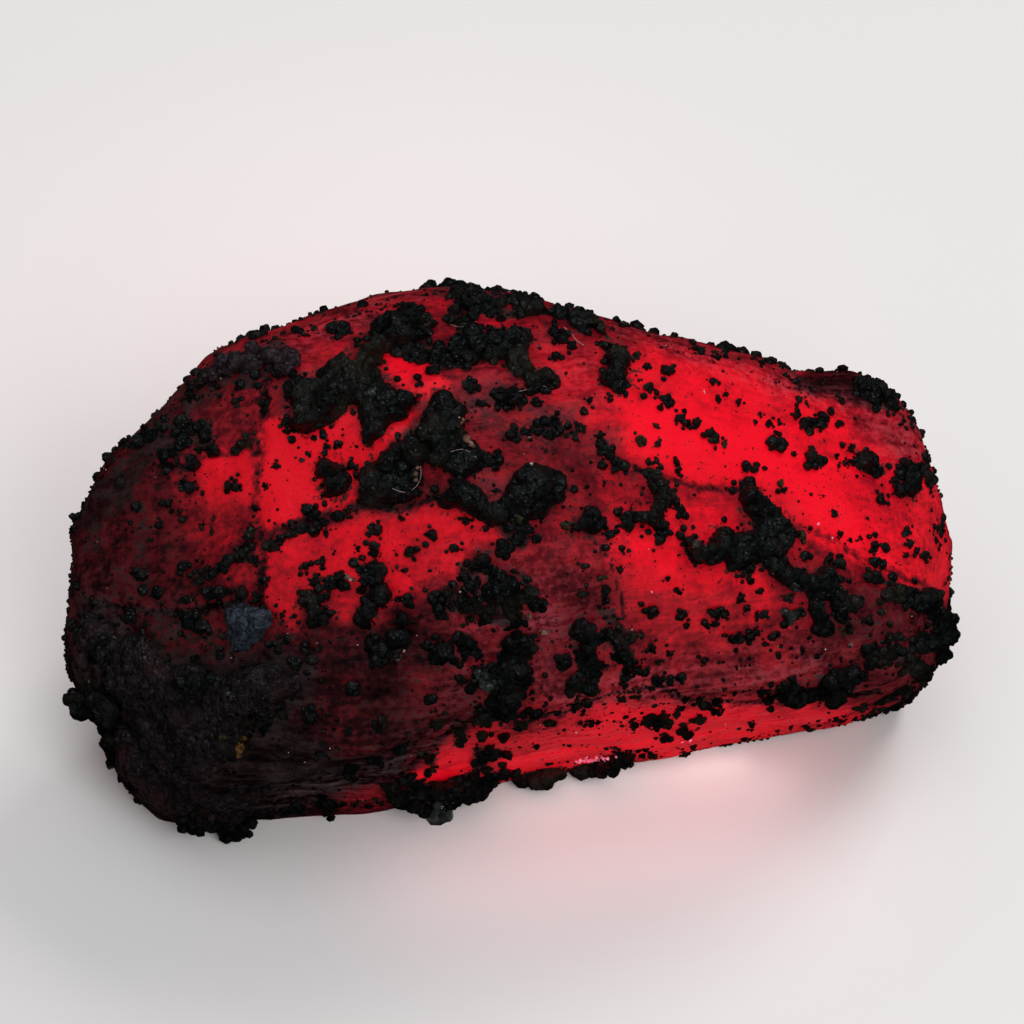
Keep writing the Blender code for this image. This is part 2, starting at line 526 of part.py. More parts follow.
def crust_patch(name, lumps, seed, cutter, material):
    """Run lumps together in one solid, and take the ruby with its clearance out of it."""
    rng = random.Random(seed)
    bm = bmesh.new()
    for spot, normal, radius, squash in lumps:
        add_lump(bm, spot, normal, radius, squash, rng)
    patch = mesh_object(name, bm, None, scale=1.0)
    join = patch.modifiers.new("join", "REMESH")
    join.mode = "VOXEL"
    join.voxel_size = LUMP_DETAIL
    facet = patch.modifiers.new("facet", "DECIMATE")
    facet.ratio = CRUST_FACE_SHARE
    hollow = patch.modifiers.new("hollow", "BOOLEAN")
    hollow.operation = "DIFFERENCE"
    hollow.solver = "EXACT"
    hollow.object = cutter
    cut = patch.evaluated_get(bpy.context.evaluated_depsgraph_get()).to_mesh()
    bm = bmesh.new()
    bm.from_mesh(cut)
    bpy.data.objects.remove(patch)
    lost = keep_largest(bm)
    bmesh.ops.dissolve_degenerate(bm, dist=0.002, edges=bm.edges)
    print(name, "faces", len(bm.faces), "islands dropped", lost)
    return mesh_object(name, bm, material)


def make_material(name, colour, roughness):
    material = bpy.data.materials.new(name)
    material.use_nodes = True
    shader = material.node_tree.nodes["Principled BSDF"]
    shader.inputs["Base Color"].default_value = colour
    shader.inputs["Roughness"].default_value = roughness
    material.diffuse_color = colour
    return material


def centre_on_origin(objects):
    """Move everything so that the middle of the box's underside is the origin."""
    corners = [obj.matrix_world @ vert.co for obj in objects for vert in obj.data.vertices]
    middle_x = 0.5 * (min(c.x for c in corners) + max(c.x for c in corners))
    middle_y = 0.5 * (min(c.y for c in corners) + max(c.y for c in corners))
    shift = Matrix.Translation((-middle_x, -middle_y, 0.0))
    for obj in objects:
        obj.data.transform(shift)
    print("map origin now at", -middle_x, -middle_y)


def main():
    for obj in list(bpy.data.objects):
        bpy.data.objects.remove(obj)
    ruby_material = make_material("ruby", RUBY_COLOUR, 0.35)
    crust_material = make_material("black_mineral", CRUST_COLOUR, 0.6)

    bm = fewer_faces(ruby_mesh(), RUBY_FACE_SHARE)
    tree = BVHTree.FromBMesh(bm)
    clearance = bm.copy()
    for vert, source in zip(clearance.verts, list(bm.verts)):
        vert.co = source.co + source.normal * GAP
    pieces = [mesh_object("ruby_crystal", bm, ruby_material)]
    cutter = mesh_object("clearance", clearance, None, scale=1.0)
    cutter.hide_render = True
    cutter.display_type = "WIRE"

    patches = {}
    for name, lumps in CRUSTS.items():
        patches[name] = [
            (*place_on(tree, EYE, from_map(u, v, 0.0)), r * PATCH_LUMP_GROWTH, PATCH_SQUASH) for u, v, r in lumps
        ]
    coat = coat_lumps(random.Random(COAT_SEED))
    patches[COAT_NAME] = [(*place_on(tree, EYE, from_map(u, v, 0.0)), r, COAT_SQUASH) for u, v, r in coat]
    for name, lumps in BACK_CRUSTS.items():
        patches[name] = [
            (*place_on(tree, Vector((x, BEHIND, z)), Vector((x, 0.0, z))), r, BACK_SQUASH) for x, z, r in lumps
        ]
    for seed, (name, lumps) in enumerate(patches.items()):
        pieces.append(crust_patch(name, run_together(lumps, tree), seed, cutter, crust_material))
    bpy.data.objects.remove(cutter)
    centre_on_origin(pieces)


main()
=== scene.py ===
# A raw ruby crystal with a black mineral crust, lying on a pale floor.

import math
import random

import bpy
import numpy as np
from mathutils import Matrix, Vector, noise
from mathutils.bvhtree import BVHTree


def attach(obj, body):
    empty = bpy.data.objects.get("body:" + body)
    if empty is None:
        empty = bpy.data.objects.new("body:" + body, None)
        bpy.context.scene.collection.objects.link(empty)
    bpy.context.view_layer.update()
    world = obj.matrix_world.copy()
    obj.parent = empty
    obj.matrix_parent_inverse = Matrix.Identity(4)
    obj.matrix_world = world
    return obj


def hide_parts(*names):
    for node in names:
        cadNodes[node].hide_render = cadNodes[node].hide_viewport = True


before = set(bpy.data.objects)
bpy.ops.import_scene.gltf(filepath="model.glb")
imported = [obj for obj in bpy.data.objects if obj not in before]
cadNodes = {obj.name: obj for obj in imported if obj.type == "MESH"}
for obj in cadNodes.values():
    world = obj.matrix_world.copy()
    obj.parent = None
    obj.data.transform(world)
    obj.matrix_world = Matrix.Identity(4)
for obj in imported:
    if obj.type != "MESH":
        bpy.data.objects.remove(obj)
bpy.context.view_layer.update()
print("frame loaded:", len(cadNodes), "nodes")

perMetre = 1000.0  # shapes are worked out in millimetres and scaled to metres at the end

# The stone is painted and strewn from a map: an oblique plane seen by an eye in front of it.
# u runs to the right and v up, in millimetres from the map's middle.
stoneMap = {
    "azimuth": math.radians(-9.0),
    "elevation": math.radians(45.0),
    "middle": Vector((0.46, -0.12, 12.6)),
    "eyeDistance": 220.0,
    "width": 51.2,  # what the camera takes in
    "searchStep": 0.5,  # how finely a line of sight is searched, and how far each way
    "searchSteps": 40,
}


def mapAxes(azimuth, elevation):
    right = Vector((math.cos(azimuth), math.sin(azimuth), 0.0))
    level = math.cos(elevation)
    out = Vector((math.sin(azimuth) * level, -math.cos(azimuth) * level, math.sin(elevation)))
    return right, out.cross(right), out


mapRight, mapUp, mapOut = mapAxes(stoneMap["azimuth"], stoneMap["elevation"])
mapEye = stoneMap["middle"] + mapOut * stoneMap["eyeDistance"]


def toMap(points):
    local = points - np.array(stoneMap["middle"])
    nearness = 1.0 - local @ np.array(mapOut) / stoneMap["eyeDistance"]
    return local @ np.array(mapRight) / nearness, local @ np.array(mapUp) / nearness


def throughMap(u, v):
    # from the eye through a place on the map
    return (stoneMap["middle"] + mapRight * u + mapUp * v - mapEye).normalized()


def selectOnly(obj):
    bpy.ops.object.select_all(action="DESELECT")
    obj.select_set(True)
    bpy.context.view_layer.objects.active = obj


def addObject(name, data):
    obj = bpy.data.objects.new(name, data)
    bpy.context.scene.collection.objects.link(obj)
    return obj


def addModifier(obj, kind, **settings):
    # adds a modifier and applies it
    selectOnly(obj)
    modifier = obj.modifiers.new(kind.lower(), kind)
    for name, value in settings.items():
        setattr(modifier, name, value)
    bpy.ops.object.modifier_apply(modifier=modifier.name)


def copyNode(nodeName, pieceName):
    # a CAD node's shape, welded, in millimetres
    mesh = cadNodes[nodeName].data.copy()
    mesh.materials.clear()
    piece = addObject(pieceName, mesh)
    selectOnly(piece)
    bpy.ops.object.mode_set(mode="EDIT")
    bpy.ops.mesh.select_all(action="SELECT")
    bpy.ops.mesh.remove_doubles(threshold=0.000001)
    bpy.ops.object.mode_set(mode="OBJECT")
    mesh.transform(Matrix.Scale(perMetre, 4))
    return piece


def readPoints(mesh):
    points = np.empty(len(mesh.vertices) * 3)
    mesh.vertices.foreach_get("co", points)
    return points.reshape(-1, 3)


def readNormals(mesh):
    normals = np.empty(len(mesh.vertices) * 3, np.float32)
    mesh.vertex_normals.foreach_get("vector", normals)
    return normals.reshape(-1, 3).astype(float)


def readFaces(mesh):
    return np.array([p.vertices[:] for p in mesh.polygons])


def writePoints(mesh, points):
    mesh.vertices.foreach_set("co", points.ravel())
    mesh.update()


def treeOf(*pieces):
    # finds the nearest place on any of the pieces
    points, faces = [], []
    for piece in pieces:
        start = len(points)
        points += [v.co.copy() for v in piece.data.vertices]
        faces += [[i + start for i in p.vertices] for p in piece.data.polygons]
    return BVHTree.FromPolygons(points, faces)


def noiseAt(points, size, offset=0.0):
    # smooth noise between about -1 and 1, with lumps of this size
    return np.array([noise.noise(Vector(p) / size + Vector((offset, offset, offset))) for p in points])


def cloudy(points, middle, *clouds):
    # a middle value with noise over it: each cloud is a reach, a size and an offset
    return sum((reach * noiseAt(points, size, offset) for reach, size, offset in clouds), middle)


def smoothStep(x):
    x = np.clip(x, 0.0, 1.0)
    return x * x * (3.0 - 2.0 * x)


def lineDistance(u, v, line):
    # how far each place on the map lies from a broken line
    nearest = np.full(len(u), 1000.0)
    for (u0, v0), (u1, v1) in zip(line, line[1:]):
        runU, runV = u1 - u0, v1 - v0
        along = np.clip(((u - u0) * runU + (v - v0) * runV) / (runU**2 + runV**2), 0.0, 1.0)
        nearest = np.minimum(nearest, np.hypot(u - u0 - along * runU, v - v0 - along * runV))
    return nearest


def zoneMask(u, v, line, soft):
    # 1 inside a closed line on the map and 0 outside it, over a soft edge
    closed = line + line[:1]
    inside = np.zeros(len(u), bool)
    for (u0, v0), (u1, v1) in zip(closed, closed[1:]):
        crosses = (v0 > v) != (v1 > v)
        if v0 != v1:
            inside ^= crosses & (u < u0 + (v - v0) / (v1 - v0) * (u1 - u0))
    edge = lineDistance(u, v, closed)
    return smoothStep(0.5 + 0.5 * np.where(inside, edge, -edge) / soft)


def strongestZone(u, v, zones, spread=1.0):
    # the most that any of some zones gives each place
    return np.max([strength * zoneMask(u, v, line, soft * spread) for strength, soft, line in zones], axis=0)


def insideLines(u, v, lines, soft):
    return np.max([zoneMask(u, v, line, soft) for line in lines], axis=0)


def finishPiece(piece, material, slot, *replaced):
    # scales a piece to metres, dresses it and ties it to the frame
    piece.data.transform(Matrix.Scale(1.0 / perMetre, 4))
    piece.data.materials.clear()
    piece.data.materials.append(material)
    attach(piece, "root")
    for nodeName in replaced:
        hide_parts(nodeName)


def colour(hexCode):
    # an sRGB hex code as linear colour
    parts = [int(hexCode[i : i + 2], 16) / 255.0 for i in (1, 3, 5)]
    return [c / 12.92 if c <= 0.04045 else ((c + 0.055) / 1.055) ** 2.4 for c in parts] + [1.0]


def setInputs(tree, node, inputs):
    # a value goes on its socket; a socket is linked, and a node by the first output it has in use
    for name, value in inputs.items():
        if isinstance(value, bpy.types.Node):
            value = next(output for output in value.outputs if output.enabled)
        if isinstance(value, bpy.types.NodeSocket):
            tree.links.new(value, node.inputs[name])
        else:
            node.inputs[name].default_value = value


def addNode(tree, kind, inputs=None, **settings):
    node = tree.nodes.new("ShaderNode" + kind)
    for name, value in settings.items():
        setattr(node, name, value)
    setInputs(tree, node, inputs or {})
    return node


def startMaterial(name):
    material = bpy.data.materials.new(name)
    material.use_nodes = True
    tree = material.node_tree
    shader = next(n for n in tree.nodes if n.type == "BSDF_PRINCIPLED")
    return material, tree, shader


def setRamp(node, stops):
    ramp = node.color_ramp
    while len(ramp.elements) < len(stops):
        ramp.elements.new(0.5)
    for element, (place, hexCode) in zip(ramp.elements, stops):
        element.position = place
        element.color = colour(hexCode)


rubyLook = {
    # painted light: from light that is lost in the stone to light that comes straight through it
    "paintedLightRamp": (
        (0.0, "#0c0406"), (0.2, "#31070e"), (0.42, "#6b0715"),
        (0.62, "#ab061b"), (0.8, "#e0031e"), (1.0, "#ff0222"),
    ),
    # the frost's colour, with its sheen painted in
    "frost": "#8a4652",
    "film": ("#0f0b0b", "#2f2727"),  # thick and dusty
    "dustAndSheen": ("#63595a", 0.45),  # grey dust and painted sheen over the film, and how much of it shows
    "ior": 1.77,
    "clearness": 0.24,
    "gloss": 0.05,
    "absorption": "#fc2434",
    "density": 300.0,  # per metre
    "roughness": 0.36,
    # size in millimetres, and detail
    "patterns": {"mottle": (1.5, 3.0), "fine": (0.32, 2.0), "streaks": (0.45, 3.0), "specks": (0.24, 1.0)},
    "streakTurn": (0.5, 0.25, -0.35),
    "streakStretch": (0.12, 1.0, 1.0),
    # how much each pattern sways the painted light, the cracks, the film, the roughness and the relief
    "paintedLightShares": {"mottle": 0.7, "streaks": 0.5, "fine": 0.5},
    "crackShares": {"fine": 2.4},
    "filmShares": {"mottle": 0.9, "fine": 1.3, "streaks": 0.6},
    "dullShares": {"frost": 0.3, "film": 0.25, "mottle": 0.2},
    "reliefShares": {"streaks": 0.8, "fine": 0.7, "specks": 0.35},
    "crackRange": (0.1, 1.3, 0.38),  # from where to where a crack fades, and how dark it is
    "frostRange": (0.9, 1.25),
    "filmRange": (0.42, 0.68, 0.94),  # from where to where the film thickens, and how thick it gets
    "pitRange": (0.68, 0.73, 0.85),
    "dustRange": (0.85, 1.35),
    "frostCover": 0.8,  # how much frost hides the clear stone
    "bumpStrength": 0.55,
    "bumpHeight": 0.0001,  # metres
}


def rawCorundum():
    # raw corundum, broken and worn: glassy red inside, with a frosted skin and dark mineral film. Its red is
    # painted light coming through the stone, and its frost carries a painted sheen
    material, tree, shader = startMaterial("rawCorundum")
    look = rubyLook
    place = addNode(tree, "TexCoord").outputs["Object"]
    # streaks run along the parting
    turned = {"Vector": place, "Rotation": look["streakTurn"], "Scale": look["streakStretch"]}
    along = addNode(tree, "Mapping", turned)
    patterns = {
        name: addNode(tree, "TexNoise", {
            "Vector": along if name == "streaks" else place,
            "Scale": perMetre / size, "Detail": detail, "Roughness": 0.6,
        })
        for name, (size, detail) in look["patterns"].items()
    }
    paintedLight, crack, frost, film = (
        addNode(tree, "Attribute", attribute_name=name).outputs["Fac"]
        for name in ("paintedLight", "crack", "frost", "film")
    )

    def addShares(value, shares, middle=0.5):
        # adds patterns to a value, each by its share and counted from its middle
        for name, share in shares.items():
            pattern = patterns[name]
            if middle:
                pattern = addNode(tree, "Math", {0: pattern, 1: middle}, operation="SUBTRACT")
            value = addNode(tree, "Math", {0: pattern, 1: share, 2: value}, operation="MULTIPLY_ADD")
        return value

    # painted light through the stone, with thin dark cracks that waver
    paintedLight = addShares(paintedLight, look["paintedLightShares"])
    crack = addShares(crack, look["crackShares"])
    low, high, shade = look["crackRange"]
    line = addNode(
        tree, "MapRange", {"Value": crack, "From Min": low, "From Max": high, "To Min": shade, "To Max": 0.0}
    )
    paintedLight = addNode(tree, "Math", {0: paintedLight, 1: line}, operation="SUBTRACT", use_clamp=True)
    paintedLightRamp = addNode(tree, "ValToRGB", {"Fac": paintedLight})
    setRamp(paintedLightRamp, look["paintedLightRamp"])

    # frost with its painted sheen, broken up by the streaks
    streaks, fine, mottle = patterns["streaks"], patterns["fine"], patterns["mottle"]
    low, high = look["frostRange"]
    broken = addNode(tree, "Math", {0: streaks, 1: fine}, operation="ADD")
    broken = addNode(tree, "MapRange", {"Value": broken, "From Min": low, "From Max": high})
    frost = addNode(tree, "Math", {0: frost, 1: broken}, operation="MULTIPLY", use_clamp=True)
    pale = colour(look["frost"])
    frosted = addNode(tree, "Mix", {"Factor": frost, "A": paintedLightRamp, "B": pale}, data_type="RGBA")

    # dark film of the crust's mineral, broken into specks
    film = addShares(film, look["filmShares"])
    low, high, most = look["filmRange"]
    film = addNode(tree, "MapRange", {"Value": film, "From Min": low, "From Max": high, "To Max": most})
    low, high, most = look["pitRange"]
    pits = {"Value": patterns["specks"], "From Min": low, "From Max": high, "To Max": most}
    film = addNode(tree, "Math", {0: film, 1: addNode(tree, "MapRange", pits)}, operation="MAXIMUM")
    low, high = look["dustRange"]
    dusty = addNode(tree, "Math", {0: streaks, 1: mottle}, operation="ADD")
    dusty = addNode(tree, "MapRange", {"Value": dusty, "From Min": low, "From Max": high})
    thick, dust = look["film"]
    dust = addNode(tree, "Mix", {"Factor": dusty, "A": colour(thick), "B": colour(dust)}, data_type="RGBA")
    filmed = addNode(tree, "Mix", {"Factor": film, "A": frosted, "B": dust}, data_type="RGBA")

    # grey dust and painted sheen where frost and film meet
    dustAndSheenColour, dustAndSheenShare = look["dustAndSheen"]
    dustAndSheen = addNode(tree, "Math", {0: frost, 1: film}, operation="MULTIPLY")
    dustAndSheen = addNode(tree, "Math", {0: dustAndSheen, 1: dustAndSheenShare}, operation="MULTIPLY")
    withDustAndSheen = addNode(tree, "Mix", {"Factor": dustAndSheen, "A": filmed, "B": colour(dustAndSheenColour)}, data_type="RGBA")

    patterns.update(frost=frost, film=film)
    dull = addShares(look["roughness"], look["dullShares"], middle=0.0)
    dull.use_clamp = True
    relief = addShares(0.0, look["reliefShares"], middle=0.0)
    cover = addNode(tree, "Math", {0: frost, 1: look["frostCover"]}, operation="MULTIPLY")
    cover = addNode(tree, "Math", {0: film, 1: cover}, operation="MAXIMUM")
    clear = addNode(tree, "Math", {0: 1.0, 1: cover}, operation="SUBTRACT", use_clamp=True)
    clear = addNode(tree, "Math", {0: clear, 1: look["clearness"]}, operation="MULTIPLY")
    bump = addNode(
        tree, "Bump", {"Height": relief, "Strength": look["bumpStrength"], "Distance": look["bumpHeight"]}
    )
    setInputs(tree, shader, {
        "Base Color": withDustAndSheen, "Roughness": dull, "Transmission Weight": clear, "Normal": bump,
        "IOR": look["ior"], "Specular IOR Level": look["gloss"],
    })

    tint = colour(look["absorption"])
    inside = addNode(tree, "VolumeAbsorption", {"Color": tint, "Density": look["density"]})
    output = next(n for n in tree.nodes if n.type == "OUTPUT_MATERIAL")
    setInputs(tree, output, {"Volume": inside})
    return material


crustLook = {
    "shades": ((0.0, "#030404"), (0.3, "#080a0a"), (0.6, "#131616"), (1.0, "#39423f")),
    "tint": "#272216",  # weathered, olive brown
    "tintRange": (0.52, 0.75),  # from where to where in its noise the tint comes in
    "tintShare": 0.5,
    "roughness": (0.34, 0.85),
    "ior": 1.65,
    "gloss": 0.38,
    "grainSize": 0.2,  # millimetres
    "patchSize": 1.1,
    "tintSize": 2.6,
    "bumpStrength": 0.8,
    "bumpHeight": -0.00009,  # metres
}

# the smooth coat on the left end, browner
coatLook = {
    **crustLook,
    "shades": ((0.0, "#0a0707"), (0.3, "#161011"), (0.6, "#261d1f"), (1.0, "#483c40")),
    "tint": "#2c0d14",
    "tintShare": 0.8,
    "gloss": 0.4,
}

# the dusty crust along the upper left edge
dustyLook = {
    **crustLook,
    "shades": ((0.0, "#120b0e"), (0.3, "#24191e"), (0.6, "#3f3038"), (1.0, "#64545c")),
    "tint": "#241c14",
    "gloss": 0.4,
}

# a grey lump whose blue-grey sheen is painted into its colour
greyLumpSheenLook = {
    **crustLook,
    "shades": ((0.0, "#12161c"), (0.4, "#262d38"), (0.7, "#444e5e"), (1.0, "#76839a")),
    "tint": "#20252c",
}

# half-clear greyish lumps between the black ones, also the painted glints on the crust
glassyLook = {
    **crustLook,
    "shades": ((0.0, "#0e1211"), (0.45, "#2a312e"), (0.75, "#5c6662"), (1.0, "#a3aaa4")),
    "tint": "#2c322e",
    "roughness": (0.12, 0.5),
    "gloss": 0.5,
    "grainSize": 0.35,
}

# olive and ochre grains, tan splinters, pale mica that also makes painted sparkles, and pink-white chips that
# are painted highlights
oliveLook = {
    **crustLook,
    "shades": ((0.0, "#14140a"), (0.5, "#2e2c17"), (0.8, "#4f4a2c"), (1.0, "#777150")),
    "tint": "#3a3016",
    "gloss": 0.3,
}
ochreLook = {
    **crustLook,
    "shades": ((0.0, "#2c1a06"), (0.5, "#5e3a0c"), (0.8, "#94600f"), (1.0, "#b98221")),
    "tint": "#53350d",
    "gloss": 0.3,
}
tanLook = {
    **crustLook,
    "shades": ((0.0, "#4a3128"), (0.5, "#7c594c"), (0.8, "#a98b7a"), (1.0, "#d5c3b3")),
    "tint": "#6e4a3e",
    "gloss": 0.4,
}
micaLook = {
    **crustLook,
    "shades": ((0.0, "#8d8480"), (0.5, "#bdb6b1"), (0.8, "#dedad6"), (1.0, "#f4f2ef")),
    "tint": "#b2a59b",
    "roughness": (0.15, 0.5),
    "gloss": 0.5,
}
pinkHighlightLook = {
    **crustLook,
    "shades": ((0.0, "#ff5f86"), (0.5, "#ff9dbb"), (0.8, "#ffd2e2"), (1.0, "#fff2f7")),
    "tint": "#ff86a8",
    "roughness": (0.15, 0.4),
    "gloss": 0.5,
}


def granularMineral(name, look):
    # hornblende and iron minerals grown as a granular crust: dull, with small waxy glints
    material, tree, shader = startMaterial(name)
    place = addNode(tree, "TexCoord").outputs["Object"]
    patches, wash = (
        addNode(tree, "TexNoise", {"Vector": place, "Scale": perMetre / look[size], "Detail": detail})
        for size, detail in (("patchSize", 4.0), ("tintSize", 2.0))
    )
    grains = addNode(tree, "TexVoronoi", {"Vector": place, "Scale": perMetre / look["grainSize"]})
    perGrain = addNode(tree, "SeparateColor", {"Color": grains.outputs["Color"]})
    shade = addNode(tree, "Math", {0: patches, 1: perGrain.outputs["Red"]}, operation="MULTIPLY")
    shades = addNode(tree, "ValToRGB", {"Fac": shade})
    setRamp(shades, look["shades"])
    low, high = look["tintRange"]
    washed = addNode(
        tree, "MapRange", {"Value": wash, "From Min": low, "From Max": high, "To Max": look["tintShare"]}
    )
    tint = colour(look["tint"])
    tinted = addNode(tree, "Mix", {"Factor": washed, "A": shades, "B": tint}, data_type="RGBA")
    low, high = look["roughness"]
    dull = addNode(tree, "MapRange", {"Value": perGrain.outputs["Green"], "To Min": low, "To Max": high})
    relief = addNode(tree, "Math", {0: grains.outputs["Distance"], 1: patches}, operation="SUBTRACT")
    bump = addNode(
        tree, "Bump", {"Height": relief, "Strength": look["bumpStrength"], "Distance": look["bumpHeight"]}
    )
    setInputs(tree, shader, {
        "Base Color": tinted, "Roughness": dull, "Normal": bump,
        "IOR": look["ior"], "Specular IOR Level": look["gloss"],
    })
    return material


rubyStone = {
    "voxel": 0.216,  # mesh size, in millimetres
    "wear": 9,  # smoothing passes
    "crackDepth": 0.07,
    "crackSharpness": 1.4,
    "crackWaver": (1.3, 0.25),  # size and reach
    "hiddenCrackWaver": 0.5,
    "hiddenCrackWidth": 0.22,
    "noCrack": 9.0,  # what stands for a place far from any crack
    "roughness": ((2.4, 0.10), (0.9, 0.05), (0.4, 0.03)),  # size and height of the unevenness
    "restingHeight": 0.3,  # the stone stays flat below this
    "seenFrom": (0.15, 4.0),  # where the side that the map shows begins, and how sharply
    # painted light: its plain level, and below, its clouds on the side out of sight
    "plainPaintedLight": 0.5,
    # noise as a middle value, then reach, size and offset of each layer
    "zoneDrift": (0.0, (0.4, 2.2, 20.0), (0.16, 0.7, 30.0)),
    "hiddenPaintedLight": (0.5, (0.6, 6.0, 40.0), (0.25, 2.6, 44.0)),
    "hiddenFrostAndSheen": (0.3, (0.5, 4.0, 63.0)),
    "hiddenFilm": (0.24, (0.3, 3.0, 60.0)),
    "frostSpread": 1.5,
    "thinCrustEdge": (0.3, 0.25),  # how far it wavers, and its softness
    "filmUnderThinCrust": 0.85,
    "rim": (0.02, 0.3),  # where the map's edge runs on the stone, and how wide it is
    # how dark the outline gets: film and painted shade
    "rimFilmAndShade": 0.62,
    "rimLeftPlain": (0.75, 0.6),  # share and softness
    "filmBesideCrust": (0.9, 0.52),  # reach and strength
    "filmBesideCoat": (2.4, 0.8),
}

# Parting cracks: how wide each shows, and its broken line on the map.
cracks = (
    (0.27, ((-12.4, -5.2), (-12.6, -3.4), (-12.5, -2.0), (-12.8, 0.2), (-12.9, 1.6), (-12.5, 3.4),
            (-12.3, 6.6))),
    (0.24, ((-17.6, 2.4), (-16.2, 2.3), (-15.2, 2.9), (-13.9, 3.2), (-12.4, 3.2))),
    (0.29, ((-13.6, -2.0), (-12.2, -1.1), (-10.8, -0.6), (-8.4, 0.3), (-5.5, 0.2), (-3.6, 0.7))),
    (0.16, ((5.6, 2.6), (6.4, 2.1), (9.4, 1.2), (12.4, 1.1))),
    (0.2, ((12.6, -0.4), (15.4, -1.0), (17.4, -2.2), (20.6, -3.6))),
    (0.16, ((-5.6, -13.2), (-4.2, -12.0), (-3.0, -10.7), (-1.0, -10.3), (0.8, -10.6), (3.4, -9.6),
            (7.2, -8.8), (9.2, -9.5), (14.4, -9.5), (18.4, -9.0))),
    (0.2, ((-21.0, -4.6), (-18.6, -4.9), (-16.0, -5.2), (-13.4, -4.4))),
    (0.12, ((3.0, -0.2), (4.8, -2.2), (5.6, -5.2))),
)

# Parting planes on the side away from the map: the way they face, and where they cut.
hiddenPartings = (
    ((0.95, 0.1, 0.28), (-14.5, -6.2, 1.6, 9.8, 16.4)),
    ((0.15, 0.2, 0.95), (5.4, 12.2)),
)
